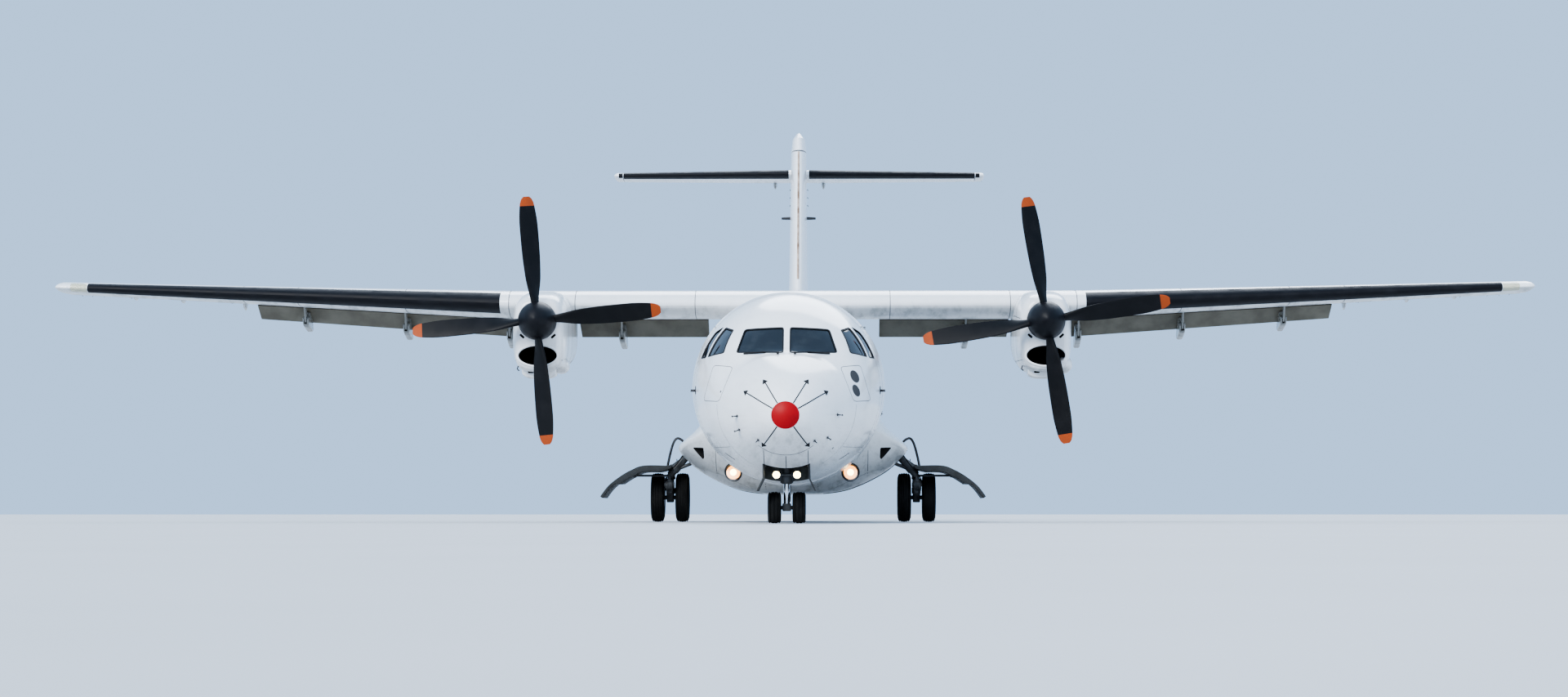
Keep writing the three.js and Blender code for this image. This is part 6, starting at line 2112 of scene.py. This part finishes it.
brake_hole = rod("axle_hole", (1.8, WHEEL_Y, WHEEL_R), (2.3, WHEEL_Y, WHEEL_R), 0.045, 40)
place_pair(cut(brake_set, brake_hole), dark_steel, "airframe")

SHOCK_TOP, SHOCK_FOOT = Vector((2.025, -0.770, 0.930)), Vector((2.050, -0.660, 0.520))
ARM_OUTLINE = [
    (-1.315, 0.630), (-1.250, 0.710), (-1.170, 0.700), (-0.900, 0.520), (-0.720, 0.580),
    (-0.630, 0.570), (-0.600, 0.510), (-0.660, 0.450), (-0.790, 0.350), (-0.850, 0.325),
    (-0.920, 0.350), (-1.200, 0.520), (-1.300, 0.560)
]
arm = prism("trailing_arm_port", "x", spline(ARM_OUTLINE, 4, closed=True), WHEEL_X - 0.06, WHEEL_X + 0.06)
apply(arm, "BEVEL", width=0.014, segments=3, limit_method="ANGLE", angle_limit=radians(50))
fork_gap = block("fork_gap", (WHEEL_X - 0.0303, WHEEL_X + 0.0303), (-1.40, -1.142), (0.45, 0.76))
cut(arm, fork_gap, rod("axle_hole", (1.8, WHEEL_Y, WHEEL_R), (2.3, WHEEL_Y, WHEEL_R), 0.0355, 40))
pivot_pin = rod("arm_pin", (WHEEL_X - 0.085, LEG_Y, ARM_Z), (WHEEL_X + 0.085, LEG_Y, ARM_Z), 0.034, 32)
bosses = [
    rod("arm_boss", (WHEEL_X + s * 0.031, LEG_Y, ARM_Z), (WHEEL_X + s * 0.072, LEG_Y, ARM_Z), 0.062, 40)
    for s in (-1, 1)
]
place_pair(
    joined("trailing_arm_port", arm, pivot_pin, *bosses),
    gear_paint,
    "airframe",
    "main_trailing_arm_port",
    degrees=35
)
place_pair(rod("shock_rod_port", SHOCK_TOP.lerp(SHOCK_FOOT, 0.30), SHOCK_FOOT, 0.034, 40), chrome, "airframe")
place_pair(
    rod("shock_eye_port", (WHEEL_X - 0.075, -0.66, 0.52), (WHEEL_X + 0.075, -0.66, 0.52), 0.05, 40),
    gear_paint,
    "airframe"
)

LEG_TOP, LEG_FOOT = Vector((1.760, LEG_Y, 1.085)), Vector((2.040, LEG_Y, 0.772))
BEAM_ROOT, BEAM_END = Vector((1.740, -0.770, 1.100)), SHOCK_TOP.lerp(SHOCK_FOOT, 0.08)
leg_parts = [
    rod("trunnion", (1.740, -1.4995, 1.100), (1.740, -0.2005, 1.100), 0.055, 40),
    rod("leg", LEG_TOP, LEG_FOOT, 0.062, 40),
    rod("leg_collar", LEG_TOP.lerp(LEG_FOOT, 0.55), LEG_TOP.lerp(LEG_FOOT, 0.75), 0.074, 40),
    rod("tongue_eye", (WHEEL_X - 0.0298, LEG_Y, ARM_Z), (WHEEL_X + 0.0298, LEG_Y, ARM_Z), 0.078, 48),
    block("tongue", (WHEEL_X - 0.0298, WHEEL_X + 0.0298), (-1.290, -1.170), (0.620, 0.790), 0.006),
    rod("shock_body", SHOCK_TOP, SHOCK_TOP.lerp(SHOCK_FOOT, 0.5), 0.058, 40),
    rod("shock_gland", SHOCK_TOP.lerp(SHOCK_FOOT, 0.44), SHOCK_TOP.lerp(SHOCK_FOOT, 0.51), 0.066, 40),
    rod("shock_beam", BEAM_ROOT, BEAM_END, 0.050, 40),
    ball("shock_head", BEAM_END, (0.066, 0.066, 0.066)),
    rod("side_stay", (1.900, -1.240, 0.880), (1.150, -1.240, 1.179), 0.028, 32),
    rod("stay_joint", (1.62, -1.275, 0.992), (1.62, -1.205, 0.992), 0.045, 32),
    rod("lock_link", (1.62, -1.24, 0.992), (1.50, -1.0, 1.16), 0.017, 24),
]
place_pair(joined("main_leg_set_port", *leg_parts), gear_paint, "airframe", "main_leg_port", degrees=35)
hoses = [
    tube(
        "hose",
        spline(
            [
                (1.80, -1.33, 1.14), (1.93, -1.34, 0.95), (2.06, -1.35, 0.80), (2.115, -1.30, 0.70),
                (2.118, -1.12, 0.60), (2.115, -0.95, 0.52), (2.10, -0.86, 0.50)
            ],
            6
        ),
        0.009
    ),
    tube(
        "hose",
        spline(
            [
                (1.80, -1.12, 1.14), (1.90, -1.13, 0.93), (1.99, -1.12, 0.80), (1.982, -1.14, 0.68),
                (1.982, -1.02, 0.57), (1.985, -0.93, 0.50)
            ],
            6
        ),
        0.008
    ),
    tube(
        "hose",
        spline([(1.95, -0.70, 1.05), (1.96, -0.69, 0.86), (2.13, -0.70, 0.72), (2.12, -0.74, 0.58)], 6),
        0.007
    ),
]
place_pair(joined("brake_hoses_port", *hoses), seal_black, "airframe")

DOOR_Y = (-1.55, -0.25)
DOOR_OUTLINE = [
    (2.000, 0.925), (2.450, 0.930), (2.680, 0.850), (2.880, 0.730), (3.050, 0.590), (3.180, 0.420)
]
door_curve = spline(DOOR_OUTLINE, 8)
inner_curve = []
for i, point in enumerate(door_curve):
    ahead = (door_curve[min(i + 1, len(door_curve) - 1)] - door_curve[max(i - 1, 0)]).normalized()
    thick = 0.105 if i < 25 else 0.105 - 0.055 * min(1, (i - 25) / 3)
    thick *= min(1, 0.35 + i / 6)
    inner_curve.append(point + Vector((ahead.y, -ahead.x)) * thick)
door = faced(prism("gear_door_panel_port", "y", door_curve + inner_curve[::-1], *DOOR_Y), gear_door_paint)
apply(door, "BEVEL", width=0.010, segments=3, limit_method="ANGLE", angle_limit=radians(55))
cut(
    door,
    rod("leg_notch", LEG_TOP, LEG_FOOT, 0.072, 32),
    rod("shock_notch", SHOCK_TOP.lerp(SHOCK_FOOT, -0.1), SHOCK_TOP.lerp(SHOCK_FOOT, 1), 0.068, 32),
    rod("beam_notch", BEAM_ROOT, BEAM_END + Vector((0.03, 0, -0.02)), 0.062, 32),
    ball("head_notch", BEAM_END, (0.074, 0.074, 0.074)),
)
place_pair(door, gear_door_paint, "airframe", "main_gear_door_port", degrees=40)
stays = [
    rod("door_strut", (WHEEL_X + 0.03, LEG_Y, 0.765), (2.70, LEG_Y, 0.765), 0.018, 24),
    tube(
        "gooseneck",
        spline(
            [
                (1.80, -0.70, 1.30), (1.88, -0.70, 1.375), (1.95, -0.70, 1.392), (2.01, -0.70, 1.31),
                (2.07, -0.70, 1.10), (2.11, -0.70, 0.90)
            ],
            8
        ),
        0.020,
        20
    ),
    block("door_bracket", (2.60, 2.70), (-1.26, -1.20), (0.735, 0.79), 0.006),
    block("gooseneck_foot", (2.07, 2.15), (-0.74, -0.66), (0.88, 0.94), 0.008),
]
place_pair(joined("gear_door_stays_port", *stays), dark_steel, "airframe")

# Nose gear

NOSE_Y, NOSE_R, NOSE_WHEEL_X, TAXI_X, TAXI_Z = -9.63, 0.225, 0.175, 0.147, 0.69
NOSE_TYRE_WIDTH, NOSE_RIM_R, NOSE_HUB_WIDTH = 0.190, 0.110, 0.150
nose_parts = [
    cut(
        rod("nose_strut", (0, NOSE_Y, 0.56), (0, NOSE_Y, 1.20), 0.075, 48),
        rod("strut_bore", (0, NOSE_Y, 0.4), (0, NOSE_Y, 0.905), 0.0455, 48)
    ),
    cut(
        rod("steering_collar", (0, NOSE_Y, 0.575), (0, NOSE_Y, 0.66), 0.092, 48),
        rod("collar_bore", (0, NOSE_Y, 0.4), (0, NOSE_Y, 0.8), 0.0455, 48)
    ),
    rod("nose_brace", (0, -9.56, 0.70), (0, -9.02, 1.20), 0.030, 32),
    block("light_bar", (-0.155, 0.155), (-9.730, -9.702), (0.675, 0.705), 0.004),
    block("steering_jack", (-0.13, 0.13), (-9.60, -9.54), (0.60, 0.655), 0.012),
]
place(joined("nose_leg_set", *nose_parts), gear_paint, "airframe", "nose_leg", degrees=35)
for name, sign in (("port", 1), ("starboard", -1)):
    x = sign * TAXI_X
    turns = full_turn(40)
    shell_rings = [
        [Vector((x + r * cos(a), y, TAXI_Z + r * sin(a))) for a in turns]
        for r, y in (
            (0.02, -9.66), (0.045, -9.675), (0.056, -9.71), (0.057, -9.770), (0.052, -9.772),
            (0.048, -9.745), (0.030, -9.72), (0.001, -9.715)
        )
    ]
    place(skin(f"taxi_light_{name}", shell_rings), chrome, "airframe")
    place(
        rod(f"taxi_lamp_{name}", (x, -9.752, TAXI_Z), (x, -9.738, TAXI_Z), 0.044, 40), taxi_glow, "airframe"
    )
place(
    rod("nose_piston_rod", (0, NOSE_Y, NOSE_R + 0.05), (0, NOSE_Y, 0.895), 0.045, 48),
    chrome,
    "nose_steering",
    "nose_piston"
)
axle_block = block(
    "nose_axle_block", (-0.062, 0.062), (NOSE_Y - 0.055, NOSE_Y + 0.055),
    (NOSE_R - 0.05, NOSE_R + 0.06), 0.012
)
cut(axle_block, rod("axle_hole", (-0.2, NOSE_Y, NOSE_R), (0.2, NOSE_Y, NOSE_R), 0.0285, 40))
link_parts = [
    tube("link", [(0, NOSE_Y + 0.05, 0.30), (0, NOSE_Y + 0.15, 0.41), (0, NOSE_Y + 0.08, 0.555)], 0.016, 20),
    rod("link_joint", (-0.035, NOSE_Y + 0.15, 0.41), (0.035, NOSE_Y + 0.15, 0.41), 0.020, 24),
]
place(joined("nose_axle_set", axle_block, *link_parts), gear_paint, "nose_steering", degrees=35)
place(rod("nose_axle", (-0.17, NOSE_Y, NOSE_R), (0.17, NOSE_Y, NOSE_R), 0.028, 40), dark_steel, "nose_wheels")
for name, sign in (("port", 1), ("starboard", -1)):
    x = sign * NOSE_WHEEL_X
    place(
        tyre_piece(f"nose_tyre_skin_{name}", x, NOSE_Y, NOSE_R, NOSE_TYRE_WIDTH, NOSE_RIM_R, 72, 3),
        tyre_rubber,
        "nose_wheels",
        f"nose_tyre_{name}",
        degrees=40
    )
    place(
        hub_piece(f"nose_hub_{name}", x, NOSE_Y, NOSE_R, NOSE_RIM_R, NOSE_HUB_WIDTH, sign, 6),
        hub_paint,
        "nose_wheels",
        *(["nose_hubs"] if sign > 0 else []),
        degrees=35
    )

NOSE_DOOR = [
    (0.310, 0.900), (0.3347, 0.900), (0.3347, 0.640), (0.420, 0.460), (0.395, 0.460), (0.3097, 0.640)
]
nose_door = prism("nose_door_panel_port", "y", NOSE_DOOR, station(1.15), station(1.85))
apply(nose_door, "BEVEL", width=0.004, segments=2, limit_method="ANGLE", angle_limit=radians(50))
place_pair(nose_door, gear_door_paint, "airframe", "nose_gear_door_port", degrees=40)
door_links = [
    rod("door_link", (0.31, station(y), 0.80), (0.20, station(y), 1.05), 0.012, 20) for y in (1.30, 1.72)
]
place_pair(joined("nose_door_links_port", *door_links), dark_steel, "airframe")
bay_lines = []
for x in (-0.31, 0.0, 0.31):
    spots = traced(cockpit, [(x, station(0.62), 0.2), (x, station(1.125), 0.2)], (0, 0, 1), 0.05)
    bay_lines.append(strip("bay_line", spots, 0.010, SEAM_RISE))
place(joined("nose_bay_lines", *bay_lines), seam_dark, "airframe")

# Kept nodes

for node, finish in [
    ("flight_deck", cabin_plastic), ("engine_block_port", dark_steel), ("engine_block_starboard", dark_steel)
]:
    for item in bpy.data.objects:
        if item.type == "MESH" and (item.name == node or item.name.startswith(node + ".")):
            for slot in item.material_slots:
                slot.material = finish

# Stage, light and camera

FLOOR_SIZE, SUN_SPREAD = 400, 0.6
SKY_COLOUR, SKY_STRENGTH, EXPOSURE = (0.47, 0.69, 1.0, 1), 0.95, 0.25

bpy.ops.mesh.primitive_plane_add(size=FLOOR_SIZE, location=(0, 0, -0.0005))
floor = settled("floor")
floor.data.materials.append(floor_paint)


def soft_sun(name, toward, power, colour):
    bpy.ops.object.light_add(type="SUN")
    lamp = bpy.context.object
    lamp.name = name
    lamp.rotation_euler = (-Vector(toward)).to_track_quat("-Z", "Y").to_euler()
    lamp.data.angle = SUN_SPREAD
    lamp.data.energy = power
    lamp.data.color = colour
    return lamp


key = soft_sun("key_light", (-26, -38, 34), 3.0, (1.0, 0.985, 0.96))
fill = soft_sun("fill_light", (34, -40, 14), 0.8, (0.93, 0.96, 1.0))
fill.visible_glossy = False
rim = soft_sun("rim_light", (6, 42, 30), 1.0, (0.95, 0.97, 1.0))

world = bpy.data.worlds.new("studio") if bpy.context.scene.world is None else bpy.context.scene.world
bpy.context.scene.world = world
world.use_nodes = True
world.node_tree.nodes["Background"].inputs["Color"].default_value = SKY_COLOUR
world.node_tree.nodes["Background"].inputs["Strength"].default_value = SKY_STRENGTH

DISTANCE, AZIMUTH, EYE, LENS = 60.0, radians(0.6), 0.16, 81.4
AIM = Vector((-0.15, -1.3, 2.87))
bpy.ops.object.camera_add(location=(DISTANCE * sin(AZIMUTH), -DISTANCE * cos(AZIMUTH), EYE))
camera = bpy.context.object
camera.data.lens = LENS
camera.data.sensor_width = 36
camera.data.clip_end = 600
camera.rotation_euler = (AIM - camera.location).to_track_quat("-Z", "Y").to_euler()
bpy.context.scene.camera = camera
bpy.context.scene.view_settings.view_transform = "AgX"
bpy.context.scene.view_settings.look = "AgX - Medium High Contrast"
bpy.context.scene.view_settings.exposure = EXPOSURE
